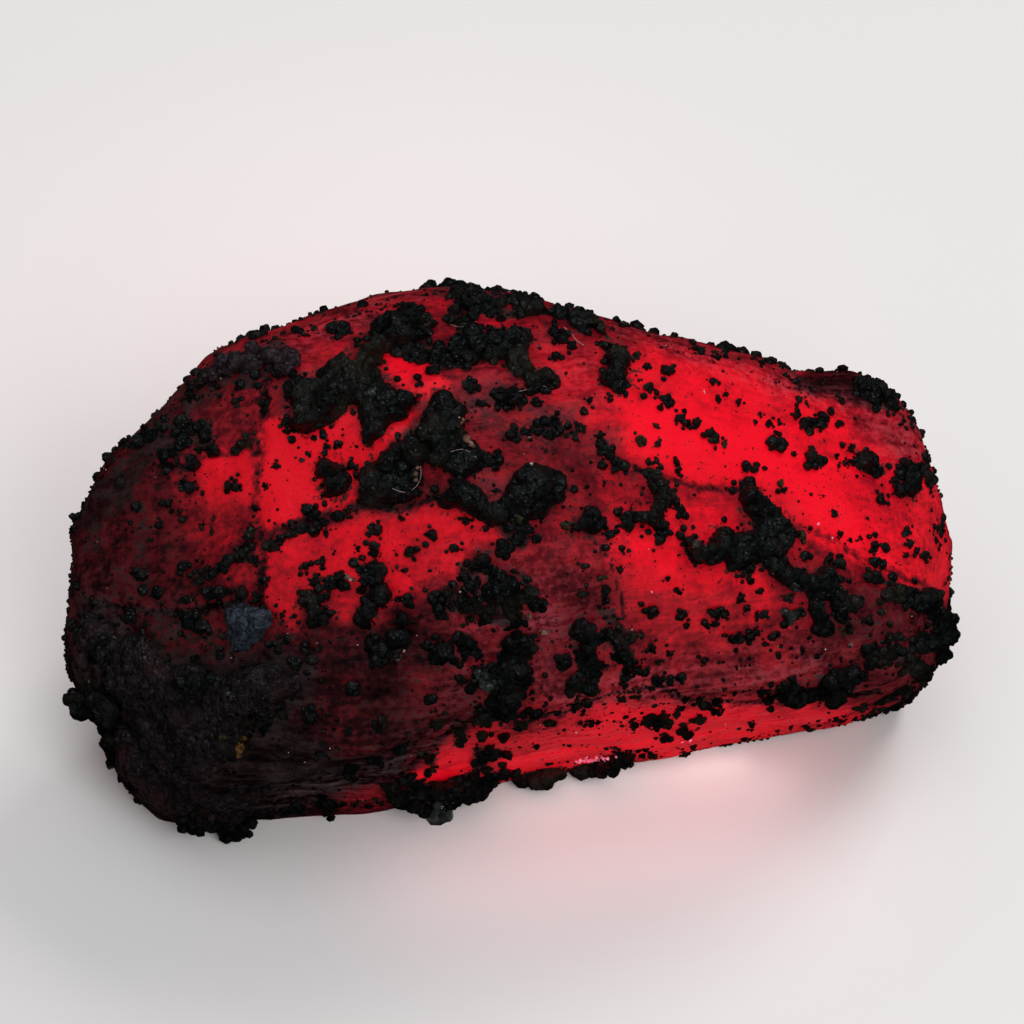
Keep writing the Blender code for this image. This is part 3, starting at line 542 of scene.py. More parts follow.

# Painted light, how bright the light comes through: brightness, softness and closed line of each zone.
# A later zone covers the ones before it.
paintedLightZones = (
    (0.3, 1.6, ((-22.6, 2.0), (-17.8, 4.8), (-16.2, 2.2), (-16.2, -0.9), (-14.0, -3.0), (-12.8, -5.2),
                (-22.8, -7.0))),
    (0.46, 0.8, ((-17.6, 4.1), (-15.9, 6.8), (-10.9, 7.6), (-10.6, 5.2), (-12.4, 4.6), (-12.6, 3.2),
                 (-15.4, 2.8))),
    (0.5, 0.7, ((-14.2, 5.0), (-13.2, 5.5), (-12.8, 4.2), (-14.0, 3.8))),
    (0.47, 0.6, ((-17.0, 1.9), (-15.2, 2.4), (-14.6, -0.2), (-13.2, -1.6), (-13.2, -3.6), (-15.0, -3.0),
                 (-16.4, -0.6))),
    (0.64, 0.7, ((-10.6, 8.3), (-7.6, 9.4), (-5.2, 10.5), (-7.4, 10.4), (-11.2, 8.9))),
    (0.62, 0.4, ((-10.8, 8.0), (-7.7, 9.0), (-8.8, 7.0), (-10.8, 6.9))),
    (0.52, 0.5, ((-3.4, 9.9), (0.8, 9.7), (2.4, 8.4), (-1.4, 9.0))),
    (0.45, 0.5, ((-3.8, 7.3), (0.4, 7.3), (0.8, 6.2), (-1.1, 5.4), (-1.4, 4.4), (-3.2, 5.6))),
    (0.69, 0.8, ((0.8, 8.0), (4.6, 8.0), (5.4, 5.6), (4.6, 4.0), (3.0, 4.8), (0.8, 5.8))),
    (0.41, 0.9, ((-1.6, 4.4), (2.8, 4.8), (4.8, 2.1), (4.2, 0.4), (2.2, 1.8), (-0.8, 2.8))),
    (0.44, 1.2, ((-1.0, -1.1), (3.4, -0.6), (5.0, -2.4), (5.2, -5.4), (4.0, -8.4), (-3.4, -8.4), (-4.1, -4.4),
                 (-3.1, -2.9))),
    (0.2, 1.4, ((-8.6, -5.6), (-4.4, -4.9), (-2.4, -8.4), (-1.2, -11.0), (-5.4, -12.8), (-10.6, -12.4),
                (-14.0, -8.0), (-12.6, -6.0))),
    (0.26, 0.8, ((-9.6, -6.0), (-7.8, -5.7), (-7.4, -7.2), (-9.2, -7.4))),
    (0.42, 0.9, ((-5.0, -8.0), (-2.8, -7.8), (-2.4, -10.0), (-4.8, -10.2))),
    (0.2, 0.8, ((-8.8, -8.8), (-6.8, -8.6), (-6.6, -10.2), (-8.4, -10.6))),
    (0.16, 1.4, ((-22.6, -6.5), (-14.6, -7.4), (-11.0, -9.0), (-9.4, -12.0), (-4.8, -12.6), (-5.6, -14.6),
                 (-20.0, -17.0))),
    (0.46, 0.4, ((-8.6, -13.7), (-6.4, -13.6), (-6.4, -14.6), (-8.6, -15.0))),
    (0.52, 0.8, ((4.6, -8.6), (9.2, -9.6), (13.6, -9.0), (16.4, -7.4), (12.8, -5.6), (8.0, -6.4),
                 (4.8, -5.0))),
    (0.65, 0.7, ((5.6, -3.4), (10.9, -3.6), (12.6, -5.2), (10.9, -6.9), (7.5, -6.6), (5.2, -4.8))),
    (0.37, 0.9, ((16.4, -2.6), (21.8, -4.4), (22.0, -8.0), (17.4, -9.4), (14.4, -8.2), (15.6, -5.0))),
    (0.85, 0.9, ((5.0, 7.6), (6.4, 8.4), (10.4, 7.4), (14.4, 6.2), (18.4, 4.9), (20.2, 3.6), (21.0, 1.4),
                 (21.4, -1.4), (21.6, -4.4), (19.0, -3.2), (16.9, -2.1), (14.4, -1.3), (12.2, -0.2),
                 (11.4, 1.2), (9.4, 1.4), (6.4, 2.3), (5.0, 3.6))),
    (1.05, 0.8, ((6.4, 5.4), (12.6, 4.2), (16.1, 1.6), (17.6, -1.4), (19.4, -2.7), (17.2, -1.9), (14.8, -1.0),
                 (13.8, 1.0), (9.4, 1.5), (6.0, 2.9))),
    (0.52, 1.0, ((16.8, 5.3), (20.6, 5.0), (21.2, 2.4), (19.6, 2.2), (17.2, 3.8))),
    (0.2, 0.3, ((14.0, 6.2), (14.6, 7.4), (19.4, 7.0), (19.4, 5.4), (17.0, 5.5))),
    (0.79, 0.6, ((4.9, 0.6), (6.4, 0.2), (8.9, 0.8), (10.9, 0.4), (11.6, -0.8), (12.4, -2.8), (12.9, -3.9),
                 (12.4, -5.0), (8.9, -4.4), (5.4, -3.4), (4.6, -2.0), (4.4, -0.8))),
    (0.62, 0.35, ((6.4, 2.0), (11.4, 1.0), (12.4, 0.8), (11.4, -0.1), (8.4, 0.5), (6.6, 0.9))),
    (0.83, 0.5, ((-12.0, -1.4), (-10.9, -0.9), (-6.6, -0.2), (-3.6, 0.5), (-1.0, -0.5), (-0.7, -1.2),
                 (-2.2, -2.1), (-3.1, -3.0), (-4.7, -3.6), (-5.6, -4.4), (-7.6, -4.3), (-8.2, -5.4),
                 (-9.9, -4.6), (-11.2, -5.6), (-12.5, -4.0), (-12.5, -2.2))),
    (0.69, 0.5, ((-12.4, -1.2), (-10.3, -1.0), (-10.2, -3.6), (-10.8, -5.9), (-12.5, -4.6))),
    (0.73, 0.5, ((-5.0, -1.0), (-2.6, -0.8), (-2.4, -2.0), (-3.0, -3.2), (-5.0, -3.4))),
    (0.74, 0.5, ((-11.6, -1.6), (-9.8, -1.3), (-9.0, -2.2), (-11.0, -3.0))),
    (0.66, 0.5, ((-9.2, -3.6), (-7.0, -3.4), (-6.8, -5.2), (-9.4, -5.4))),
    (0.93, 0.4, ((-15.7, 2.1), (-15.2, 2.8), (-13.9, 3.1), (-12.9, 3.0), (-12.9, 0.6), (-13.6, -0.8),
                 (-15.2, 0.0), (-15.9, 1.2))),
    (0.56, 0.8, ((-16.0, 1.0), (-14.6, 0.9), (-13.1, 0.6), (-13.0, -1.4), (-14.6, -1.6))),
    (1.08, 0.25, ((-12.5, 4.6), (-11.8, 4.9), (-10.0, 4.6), (-7.9, 5.1), (-6.8, 3.6), (-6.6, 2.8),
                  (-7.4, 1.9), (-8.0, 0.7), (-10.9, -0.4), (-12.4, -0.9), (-12.7, -0.2), (-12.7, 1.6),
                  (-12.4, 3.2))),
    (0.92, 0.25, ((-6.7, 7.7), (-4.4, 7.8), (-4.2, 7.0), (-3.1, 6.5), (-3.2, 5.7), (-4.6, 5.7), (-5.8, 6.4))),
    (0.8, 0.5, ((-5.3, -13.2), (-4.2, -12.2), (-3.0, -11.0), (-2.2, -10.7), (-1.2, -10.6), (0.2, -11.0),
                (1.5, -11.0), (3.2, -10.2), (4.4, -9.5), (7.2, -9.1), (8.4, -9.6), (12.4, -9.7), (15.0, -9.9),
                (16.8, -10.1), (14.6, -11.2), (10.4, -12.3), (4.4, -13.6), (-3.0, -14.6))),
    (0.96, 0.3, ((-4.8, -13.2), (-3.8, -12.4), (-2.2, -11.8), (-2.0, -12.8), (-3.4, -13.4))),
    (1.15, 0.3, ((-0.8, -12.6), (0.6, -11.9), (3.4, -11.4), (6.4, -10.8), (9.4, -11.0), (8.6, -12.0),
                 (5.0, -12.4), (0.6, -13.6))),
    (1.05, 0.4, ((3.0, -10.9), (5.4, -9.8), (8.2, -9.8), (11.8, -10.0), (13.6, -10.2), (12.8, -11.2),
                 (8.6, -12.0), (4.6, -11.2))),
    (0.58, 0.4, ((-1.9, -11.4), (-0.9, -11.6), (-0.8, -13.0), (-1.9, -13.2))),
    (0.88, 0.5, ((13.0, -9.7), (17.4, -9.8), (17.0, -10.8), (13.0, -11.4))),
    (0.72, 0.8, ((17.6, 1.4), (21.6, 2.4), (21.8, -3.4), (19.4, -2.6), (18.2, -0.8))),
    (0.95, 0.3, ((-8.4, 4.8), (-7.6, 4.4), (-6.4, 4.5), (-4.7, 5.1), (-5.6, 3.7), (-7.2, 2.2), (-7.8, 2.2),
                 (-8.4, 3.4))),
)

# Frosted skin with a painted pinkish grey sheen: strength, softness and line.
frostZones = (
    (0.35, 0.9, ((0.6, 7.6), (4.4, 7.6), (4.4, 5.4), (0.6, 6.0))),
    (0.3, 0.9, ((-3.6, 7.3), (0.4, 7.2), (0.6, 6.3), (-1.4, 6.2))),
    (0.75, 1.0, ((-1.4, -3.6), (2.6, -3.4), (3.0, -6.0), (1.0, -6.8), (-1.4, -5.6))),
    (0.28, 1.0, ((-3.4, -1.8), (4.6, -1.8), (5.0, -8.4), (-4.0, -10.4))),
    (0.58, 0.9, ((8.4, -8.6), (13.6, -6.8), (17.0, -7.0), (15.6, -8.8), (9.2, -9.6))),
    (0.66, 0.8, ((0.6, -8.4), (4.4, -8.0), (9.4, -7.6), (9.0, -9.4), (2.4, -10.0))),
    (0.16, 1.0, ((15.4, -3.6), (21.4, -5.0), (21.0, -8.0), (16.0, -8.0))),
    (0.6, 0.6, ((-11.4, 8.8), (-7.4, 10.6), (-4.6, 11.2), (-7.0, 9.6), (-10.6, 8.0))),
    (0.45, 0.5, ((-18.6, 3.6), (-15.2, 7.4), (-11.6, 8.9), (-11.4, 8.0), (-14.8, 6.2), (-17.4, 3.4))),
    (0.5, 0.5, ((5.4, 9.4), (9.6, 8.2), (15.0, 6.2), (19.0, 5.4), (19.0, 4.6), (14.0, 5.7), (9.0, 7.4),
                (5.4, 8.6))),
    (0.6, 0.9, ((17.4, 5.0), (20.4, 4.6), (21.0, 2.4), (18.6, 2.8))),
    (0.25, 1.4, ((-22.0, -3.6), (-17.4, -4.4), (-18.0, -7.2), (-22.0, -7.4))),
    (0.34, 0.6, ((-1.0, -11.4), (8.0, -9.8), (17.0, -9.8), (16.0, -11.2), (8.0, -12.4), (-1.0, -13.6))),
    (0.8, 0.6, ((-11.6, -14.2), (-8.6, -13.2), (-5.2, -12.4), (-6.0, -13.2), (-9.0, -14.2))),
    (0.3, 0.7, ((-5.4, -11.0), (-2.4, -10.6), (-2.4, -12.2), (-6.0, -12.6))),
    (0.2, 1.2, ((-17.0, 5.0), (-12.0, 7.6), (-11.0, 6.0), (-15.0, 3.6))),
)

# Dark film around the crust: strength, softness and line.
filmZones = (
    (0.66, 1.0, ((-23.0, -6.4), (-17.0, -7.2), (-11.6, -9.4), (-8.0, -12.2), (-4.6, -11.6), (-5.2, -13.4),
                 (-9.0, -14.6), (-20.0, -17.0))),
    (0.46, 1.2, ((-23.0, 0.6), (-20.4, -0.6), (-18.0, -3.4), (-14.4, -4.6), (-11.0, -7.6), (-8.2, -11.6),
                 (-22.6, -9.0))),
    (0.3, 1.0, ((-23.0, 2.6), (-17.8, 5.2), (-16.6, 2.0), (-15.4, -2.8), (-22.4, -4.0))),
    (0.66, 0.5, ((-22.8, -0.4), (-16.8, 6.4), (-11.6, 9.0), (-10.6, 8.0), (-12.6, 6.9), (-15.4, 5.0),
                 (-18.4, 1.6), (-21.0, -1.4))),
    (0.5, 0.5, ((-19.2, 1.4), (-18.2, 1.2), (-17.8, -1.0), (-17.5, -4.6), (-18.7, -4.8), (-19.0, -2.0))),
    (0.62, 1.3, ((-18.6, -4.6), (-15.6, -4.4), (-12.8, -6.4), (-12.8, -9.4), (-18.0, -9.0))),
    (0.39, 1.0, ((-8.4, -6.0), (-4.4, -5.4), (-1.4, -8.4), (0.8, -10.2), (-1.8, -12.2), (-8.0, -12.4))),
    (0.45, 0.6, ((-2.0, -11.3), (-0.2, -11.4), (-0.4, -12.4), (-2.0, -12.6))),
    (0.38, 0.9, ((12.4, -8.2), (17.4, -6.8), (21.4, -6.4), (20.4, -9.2), (16.4, -9.8), (12.6, -9.4))),
    (0.4, 1.0, ((-2.4, -6.0), (1.0, -6.2), (2.0, -10.0), (-2.0, -9.6))),
    (0.36, 0.8, ((2.0, -3.0), (6.4, -2.6), (7.4, -6.4), (5.0, -8.4), (1.4, -8.4))),
    (0.46, 0.8, ((14.4, -3.0), (18.0, -3.6), (21.4, -5.4), (20.4, -7.4), (14.8, -6.6))),
    (0.36, 0.6, ((2.4, -9.6), (6.0, -9.0), (9.6, -9.6), (9.4, -10.4), (6.0, -9.9), (3.2, -10.4))),
    (0.42, 0.6, ((-5.6, -11.6), (-3.0, -10.6), (0.4, -10.4), (0.4, -11.6), (-2.0, -11.8), (-5.0, -12.6))),
    (0.3, 0.8, ((-3.4, 4.6), (3.4, 5.0), (5.0, 2.0), (4.4, -0.6), (-1.0, 0.6))),
    (0.28, 0.8, ((13.6, 1.6), (20.8, 3.6), (21.2, 0.0), (16.0, -1.0))),
)

# Where the stone's edge keeps neither the dark rim film nor its painted shade.
plainRims = (
    ((3.6, 10.2), (10.0, 8.6), (13.2, 7.6), (13.2, 5.6), (9.0, 6.4), (3.6, 8.2)),
    ((7.0, -10.8), (18.6, -9.0), (18.6, -10.8), (7.0, -13.0)),
)

# Thin crust that the coat of grains makes up: its outlines on the map.
thinCrusts = (
    ((-3.4, 10.6), (-3.3, 9.1), (-2.4, 9.6), (0.6, 9.8), (0.4, 10.4), (-2.6, 10.4)),
    ((-6.2, 8.3), (-6.0, 7.8), (-4.4, 7.6), (-4.2, 7.1), (-2.6, 7.2), (-1.6, 7.4), (-3.4, 8.1), (-4.0, 8.6)),
    ((-14.0, 6.9), (-13.9, 6.1), (-12.7, 6.2), (-12.8, 6.8)),
    ((-17.8, 3.2), (-16.4, 4.6), (-14.8, 4.5), (-14.8, 3.6), (-15.2, 3.0), (-16.4, 3.4), (-17.0, 2.6)),
    ((-14.6, 3.0), (-13.4, 3.8), (-12.6, 3.7), (-13.4, 3.2)),
    ((-12.2, -1.5), (-10.6, -0.6), (-8.4, 0.0), (-7.9, -0.3), (-10.2, -1.0), (-11.6, -1.5)),
    ((-0.8, 3.9), (0.7, 4.0), (1.0, 4.4), (2.2, 4.6), (2.4, 4.1), (3.7, 4.1), (3.7, 3.7), (1.0, 3.8),
     (-0.4, 3.5)),
    ((-1.8, 0.0), (-0.6, -0.6), (1.0, -0.8), (0.9, -1.4), (0.4, -2.0), (-0.6, -1.2)),
    ((5.2, -0.1), (5.8, -0.1), (6.2, -0.6), (7.2, -1.2), (6.6, -0.9), (5.6, -0.7)),
    ((8.5, -1.2), (9.4, -1.4), (9.2, -2.6), (8.5, -2.2)),
    ((19.2, 2.3), (19.8, 2.3), (19.6, 0.8), (19.1, 0.9)),
    ((17.9, 5.6), (19.0, 5.4), (18.8, 5.0), (18.0, 5.2)),
    ((11.2, -2.8), (11.9, -2.8), (11.8, -3.4), (11.4, -3.2)),
    ((13.1, -4.0), (14.0, -3.8), (14.2, -4.2), (13.3, -4.3)),
    ((18.4, -3.2), (19.8, -3.8), (20.2, -4.8), (19.4, -4.7), (18.6, -3.9)),
    ((17.4, -6.8), (19.4, -6.8), (20.6, -7.4), (20.8, -8.4), (20.0, -8.4), (19.4, -7.6), (18.4, -7.8)),
    ((-4.0, -4.0), (-2.8, -3.4), (-2.0, -4.6), (-0.2, -4.6), (1.0, -5.3), (0.2, -5.9), (-1.6, -5.6),
     (-2.8, -5.0), (-4.2, -5.0)),
    ((-2.9, -2.5), (-1.8, -2.6), (-1.5, -3.6), (-2.2, -4.2), (-2.6, -3.2)),
    ((0.2, -3.0), (0.6, -3.0), (1.4, -4.2), (1.6, -4.8), (1.0, -4.8)),
    ((-2.8, -6.0), (-1.8, -6.2), (-1.4, -7.4), (-2.6, -7.6)),
    ((-2.4, -8.4), (-1.5, -8.4), (-1.5, -9.4), (-2.0, -9.2)),
    ((-16.0, -3.0), (-14.2, -2.3), (-13.7, -2.0), (-12.9, -1.8), (-12.5, -3.2), (-13.0, -2.6), (-14.2, -2.7),
     (-15.8, -3.4)),
    ((-9.7, -3.5), (-8.6, -3.0), (-7.9, -3.7), (-8.4, -4.0), (-9.2, -3.8), (-9.2, -4.8), (-9.6, -4.6)),
    ((-7.9, -2.6), (-7.2, -2.6), (-7.0, -4.6), (-7.9, -5.2), (-7.6, -4.2), (-7.4, -3.4)),
    ((4.0, -4.9), (5.2, -4.9), (5.5, -5.7), (6.8, -6.0), (6.0, -6.4), (6.2, -7.6), (5.2, -7.4), (4.8, -6.6),
     (5.4, -6.0)),
    ((3.0, -6.6), (3.9, -6.8), (4.6, -8.2), (3.9, -8.6), (3.3, -7.8)),
    ((2.0, -7.1), (2.7, -7.0), (2.8, -7.6), (2.1, -7.7)),
    ((5.5, -8.0), (6.0, -8.0), (6.0, -8.6), (5.5, -8.5)),
    ((7.1, -8.3), (8.6, -8.3), (8.6, -8.6), (7.1, -8.7)),
    ((6.6, -10.3), (7.9, -10.2), (7.9, -10.8), (6.7, -10.7)),
    ((8.5, -10.9), (8.9, -11.0), (9.6, -10.4), (9.3, -10.3)),
    ((13.2, -8.5), (14.2, -8.5), (14.6, -9.0), (13.4, -9.0)),
    ((-1.8, -9.8), (0.4, -9.9), (1.2, -9.9), (-0.2, -10.4), (-1.6, -10.5)),
    ((-5.9, -13.6), (-5.0, -12.9), (-4.8, -13.3), (-3.4, -13.6), (-2.0, -13.1), (-1.0, -13.2), (-1.0, -13.7),
     (-4.0, -14.0)),
    ((-1.9, -11.7), (-0.8, -11.8), (0.0, -12.2), (-1.2, -12.4), (-1.2, -12.8), (0.0, -12.9), (-1.0, -13.3),
     (-1.9, -13.0)),
    ((-4.4, -12.1), (-3.7, -11.8), (-3.7, -12.9), (-4.2, -13.0)),
    ((-3.0, -11.0), (-2.0, -10.8), (-2.2, -11.5), (-2.9, -11.6)),
    ((-11.9, -6.1), (-10.9, -6.1), (-11.2, -6.7), (-12.0, -6.7)),
    ((4.9, -11.8), (5.8, -12.0), (5.8, -12.3), (5.0, -12.2)),
    ((-3.0, 9.2), (-2.9, 9.8), (-1.6, 10.0), (-1.5, 9.7), (-2.4, 9.1)),
    ((0.7, 6.3), (2.1, 6.9), (2.1, 6.1), (0.9, 6.0)),
    ((-1.0, 5.7), (-0.9, 4.9), (0.2, 5.1), (0.8, 5.4), (0.0, 5.9)),
    ((-1.0, 3.2), (-0.6, 2.9), (-0.5, 2.0), (-0.9, 2.2)),
)

# Places that the crust leaves bare, and the edges that it keeps behind.
crustGaps = (
    ((-6.7, 7.7), (-5.4, 7.7), (-4.0, 6.2), (-4.4, 5.9), (-5.6, 6.1), (-6.5, 6.8)),
    ((-12.0, 4.6), (-11.4, 4.3), (-10.4, 4.2), (-9.0, 4.5), (-8.4, 4.9), (-8.4, 3.8), (-12.0, 3.8)),
    ((-7.2, 3.6), (-6.4, 4.4), (-5.6, 4.6), (-4.6, 5.2), (-4.5, 4.6), (-5.6, 3.7), (-6.6, 3.0), (-7.1, 2.4),
     (-7.5, 2.9)),
    ((-2.4, 5.8), (-2.4, 4.4), (-1.9, 3.8), (-1.4, 3.9), (-1.6, 5.8)),
    ((-5.1, 2.0), (-5.0, 1.3), (-3.8, 0.7), (-3.1, 1.5), (-3.6, 1.8), (-4.2, 1.6)),
    ((-10.0, 1.9), (-9.5, 1.9), (-9.5, 0.8), (-8.6, 0.8), (-8.2, 1.4), (-7.8, 1.5), (-7.8, 0.2), (-9.9, 0.2)),
    ((-8.3, 7.9), (-8.2, 8.8), (-6.9, 9.5), (-6.3, 9.8), (-6.2, 9.4), (-6.6, 9.15), (-7.7, 8.5), (-8.0, 7.8)),
    ((14.2, 7.2), (17.2, 7.2), (17.3, 5.5), (16.0, 5.4), (14.2, 5.9)),
    ((-1.3, 0.6), (-1.2, 1.1), (-0.4, 1.5), (-0.2, 1.2), (-0.8, 0.7)),
    ((14.0, -1.9), (15.8, -2.2), (15.6, -2.9), (14.6, -3.0), (14.0, -2.4)),
    ((-12.2, -5.8), (-10.4, -4.6), (-10.2, -7.8), (-11.6, -8.4), (-12.0, -7.0)),
    ((-11.7, 6.6), (-11.2, 6.4), (-11.1, 4.9), (-11.7, 4.6)),
    ((-9.7, 3.9), (-9.5, 2.7), (-8.8, 2.3), (-8.2, 2.2), (-7.8, 2.8), (-8.4, 3.9)),
    ((-11.8, -10.0), (-10.2, -9.4), (-9.8, -13.0), (-11.0, -13.4), (-11.8, -11.6)),
    ((0.9, 8.2), (1.2, 9.2), (1.8, 9.2), (1.9, 8.0), (1.6, 7.0), (1.0, 7.8)),
    ((4.6, 9.9), (6.0, 9.6), (6.0, 8.5), (5.0, 8.6)),
    ((4.2, 8.1), (4.8, 8.0), (4.9, 7.2), (4.2, 7.0)),
    ((5.9, 7.9), (6.8, 7.4), (6.8, 6.0), (6.2, 6.3), (5.8, 7.0)),
    ((11.2, -0.9), (11.2, -0.2), (11.9, -0.2), (12.0, -0.9)),
    ((9.1, -0.4), (10.5, -0.4), (10.3, -1.5), (9.4, -1.4)),
    ((10.4, 0.6), (10.6, 1.6), (11.6, 1.8), (11.8, 1.3), (11.4, 0.7)),
    ((12.0, 2.3), (13.8, 1.7), (15.4, -0.2), (15.2, -1.2), (14.4, -0.8), (13.3, 0.5), (12.3, 1.4)),
    ((2.4, 2.4), (3.6, 2.2), (3.6, 0.0), (2.8, 0.6), (2.9, 1.8)),
    ((0.9, -0.3), (2.2, 0.1), (2.4, -0.6), (1.0, -0.9)),
    ((6.1, 0.2), (6.3, 1.1), (7.3, 1.1), (7.3, 0.3)),
    ((14.1, -5.8), (14.9, -6.1), (14.7, -6.6), (15.9, -7.0), (14.4, -7.6), (13.8, -6.2)),
    ((15.8, -4.4), (16.4, -4.4), (16.6, -5.4), (16.4, -6.0), (16.0, -5.4)),
    ((18.0, -9.9), (18.4, -9.7), (20.4, -9.0), (20.6, -10.4), (18.2, -10.6)),
    ((13.2, 6.9), (14.6, 6.4), (15.2, 6.7), (17.2, 6.5), (18.4, 6.6), (18.9, 6.0), (19.0, 4.4), (20.4, 4.4),
     (20.4, 8.4), (13.2, 8.4)),
    ((-4.6, 12.6), (-4.4, 10.7), (-3.4, 10.9), (-2.8, 11.3), (-1.4, 11.2), (-1.2, 10.9), (1.4, 11.0),
     (2.0, 10.2), (3.4, 10.3), (4.2, 10.1), (5.4, 9.2), (6.4, 9.4), (6.4, 12.6)),
    ((-17.4, 6.2), (-16.2, 6.4), (-15.2, 7.4), (-14.2, 8.0), (-12.6, 8.4), (-10.7, 8.4), (-10.4, 9.8),
     (-16.0, 9.8)),
    ((-13.1, -17.0), (-12.9, -15.5), (-11.4, -14.9), (-9.6, -14.6), (-8.8, -14.9), (-8.8, -17.0)),
)


def makeRuby():
    stone = copyNode("ruby_crystal", "rubyBody")
    addModifier(stone, "REMESH", mode="VOXEL", voxel_size=rubyStone["voxel"])
    addModifier(stone, "SMOOTH", factor=0.5, iterations=rubyStone["wear"])
    mesh = stone.data
    points, normals = readPoints(mesh), readNormals(mesh)
    u, v = toMap(points)
    toEye = np.array(mapEye) - points
    toEye /= np.linalg.norm(toEye, axis=1)[:, None]
    facingEye = np.einsum("ij,ij->i", normals, toEye)
    start, sharpness = rubyStone["seenFrom"]
    seen = smoothStep((facingEye + start) * sharpness)  # 1 on the side the map shows

    # cracks and unevenness
    waverSize, waver = rubyStone["crackWaver"]
    wander = noiseAt(points, waverSize)
    crack = np.full(len(u), rubyStone["noCrack"])
    for width, line in cracks:
        crack = np.minimum(crack, lineDistance(u + waver * wander, v - waver * wander, line) / width)
    unseen = np.full(len(u), rubyStone["noCrack"])
    for facing, steps in hiddenPartings:
        along = points @ np.array(Vector(facing).normalized()) + rubyStone["hiddenCrackWaver"] * wander
        for step in steps:
            unseen = np.minimum(unseen, np.abs(along - step) / rubyStone["hiddenCrackWidth"])
    crack = crack * seen + unseen * (1.0 - seen)
    height = -rubyStone["crackDepth"] * np.exp(-((crack * rubyStone["crackSharpness"]) ** 2))
    for i, (size, rise) in enumerate(rubyStone["roughness"]):
        height += rise * noiseAt(points, size, 7.0 * i + 3.0)
    standing = points[:, 2] > rubyStone["restingHeight"]
    points += normals * (height * standing)[:, None]
    points[:, 2] = np.maximum(points[:, 2], 0.0)
    writePoints(mesh, points)

    # painted light: how bright each place is
    drift = cloudy(points, *rubyStone["zoneDrift"])
    warpedU, warpedV = u + drift, v - drift
    paintedLight = np.full(len(u), rubyStone["plainPaintedLight"])
    for value, soft, line in paintedLightZones:
        paintedLight += (value - paintedLight) * zoneMask(warpedU, warpedV, line, soft)
    paintedLight = paintedLight * seen + cloudy(points, *rubyStone["hiddenPaintedLight"]) * (1.0 - seen)

    # frost with its painted sheen, and film
    frost = strongestZone(warpedU, warpedV, frostZones, rubyStone["frostSpread"])
    film = strongestZone(warpedU, warpedV, filmZones)
    thinWaver, thinSoft = rubyStone["thinCrustEdge"]
    thin = insideLines(u + thinWaver * wander, v - thinWaver * wander, thinCrusts, thinSoft) * seen
    film = np.maximum(film, rubyStone["filmUnderThinCrust"] * thin)
    # dark film along the outline that the map's eye sees: partly film, partly painted shade
    rimAt, rimWidth = rubyStone["rim"]
    rim = 1.0 - smoothStep(np.abs(facingEye - rimAt) / rimWidth)
    leftPlain, plainSoft = rubyStone["rimLeftPlain"]
    rim *= 1.0 - leftPlain * insideLines(u, v, plainRims, plainSoft)
    film = np.maximum(film, rubyStone["rimFilmAndShade"] * rim)
    frost = frost * seen + np.clip(cloudy(points, *rubyStone["hiddenFrostAndSheen"]), 0.0, 1.0) * (1.0 - seen)
    film = film * seen + cloudy(points, *rubyStone["hiddenFilm"]) * (1.0 - seen)
    return stone, {"paintedLight": paintedLight, "frost": frost, "crack": crack, "film": film, "rim": rim, "thin": thin}


def paint(piece, layers, names):
    for name in names:
        layer = piece.data.attributes.new(name, "FLOAT", "POINT")
        layer.data.foreach_set("value", layers[name].astype(np.float32))


def filmAround(tree, piece, layers, reach, strength):
    # the film is thickest beside the crust
    beside = np.zeros(len(piece.data.vertices))
    for i, vertex in enumerate(piece.data.vertices):
        found = tree.find_nearest(vertex.co, reach)
        if found[0] is not None:
            beside[i] = 1.0 - found[3] / reach
    layers["film"] = np.maximum(layers["film"], strength * beside)
    return beside


grainShape = {
    "kinds": 10,
    "lumps": (1.7, 0.3),  # how close together and how high
    "jitter": 0.05,
    "facesKept": 0.55,
    "stretch": (0.75, 1.1),
    "squash": (0.65, 1.0),
    "smooth": 38,  # degrees
    "seed": 11,
}


def makeGrainKinds():
    # a few angular grains, each modelled once from a ball
    rng = random.Random(grainShape["seed"])
    close, high = grainShape["lumps"]
    kinds = []
    for i in range(grainShape["kinds"]):
        bpy.ops.object.select_all(action="DESELECT")
        bpy.ops.mesh.primitive_ico_sphere_add(subdivisions=2, radius=1.0)
        ball = bpy.context.active_object
        for vertex in ball.data.vertices:
            lump = noise.noise(vertex.co * close + Vector((i * 5.0, 0.0, 0.0)))
            vertex.co *= 1.0 + high * lump + rng.uniform(-1.0, 1.0) * grainShape["jitter"]
        addModifier(ball, "DECIMATE", ratio=grainShape["facesKept"])
        kinds.append((readPoints(ball.data), readFaces(ball.data)))
        bpy.data.objects.remove(ball)
    return kinds


def placeGrains(kinds, places, rng):
    # joined grains: each place is a spot, the way out, and a radius
    allPoints, allFaces, start = [], [], 0
    for spot, out, radius in places:
        points, faces = kinds[rng.randrange(len(kinds))]
        angle = rng.uniform(0, math.tau)
        turn = Matrix.Rotation(angle, 3, Vector((rng.gauss(0, 1), rng.gauss(0, 1), rng.gauss(0, 1))))
        wide, flat = rng.uniform(*grainShape["stretch"]), rng.uniform(*grainShape["squash"])
        stretch = Matrix.Diagonal((1.0, wide, flat))
        placed = points @ np.array(stretch) @ np.array(turn).T * radius + np.array(spot)
        placed[:, 2] = np.maximum(placed[:, 2], 0.0)
        allPoints.append(placed)
        allFaces.append(faces + start)
        start += len(points)
    return np.concatenate(allPoints), np.concatenate(allFaces)


def newMesh(name, points, faces):
    mesh = bpy.data.meshes.new(name)
    mesh.from_pydata(points.tolist(), [], faces)
    mesh.update()
    return mesh


def smoothGrains(piece):
    selectOnly(piece)
    bpy.ops.object.shade_smooth_by_angle(angle=math.radians(grainShape["smooth"]))
    return piece


def grainPiece(name, kinds, places, rng):
    points, faces = placeGrains(kinds, places, rng)
    return smoothGrains(addObject(name, newMesh(name, points, faces.tolist())))


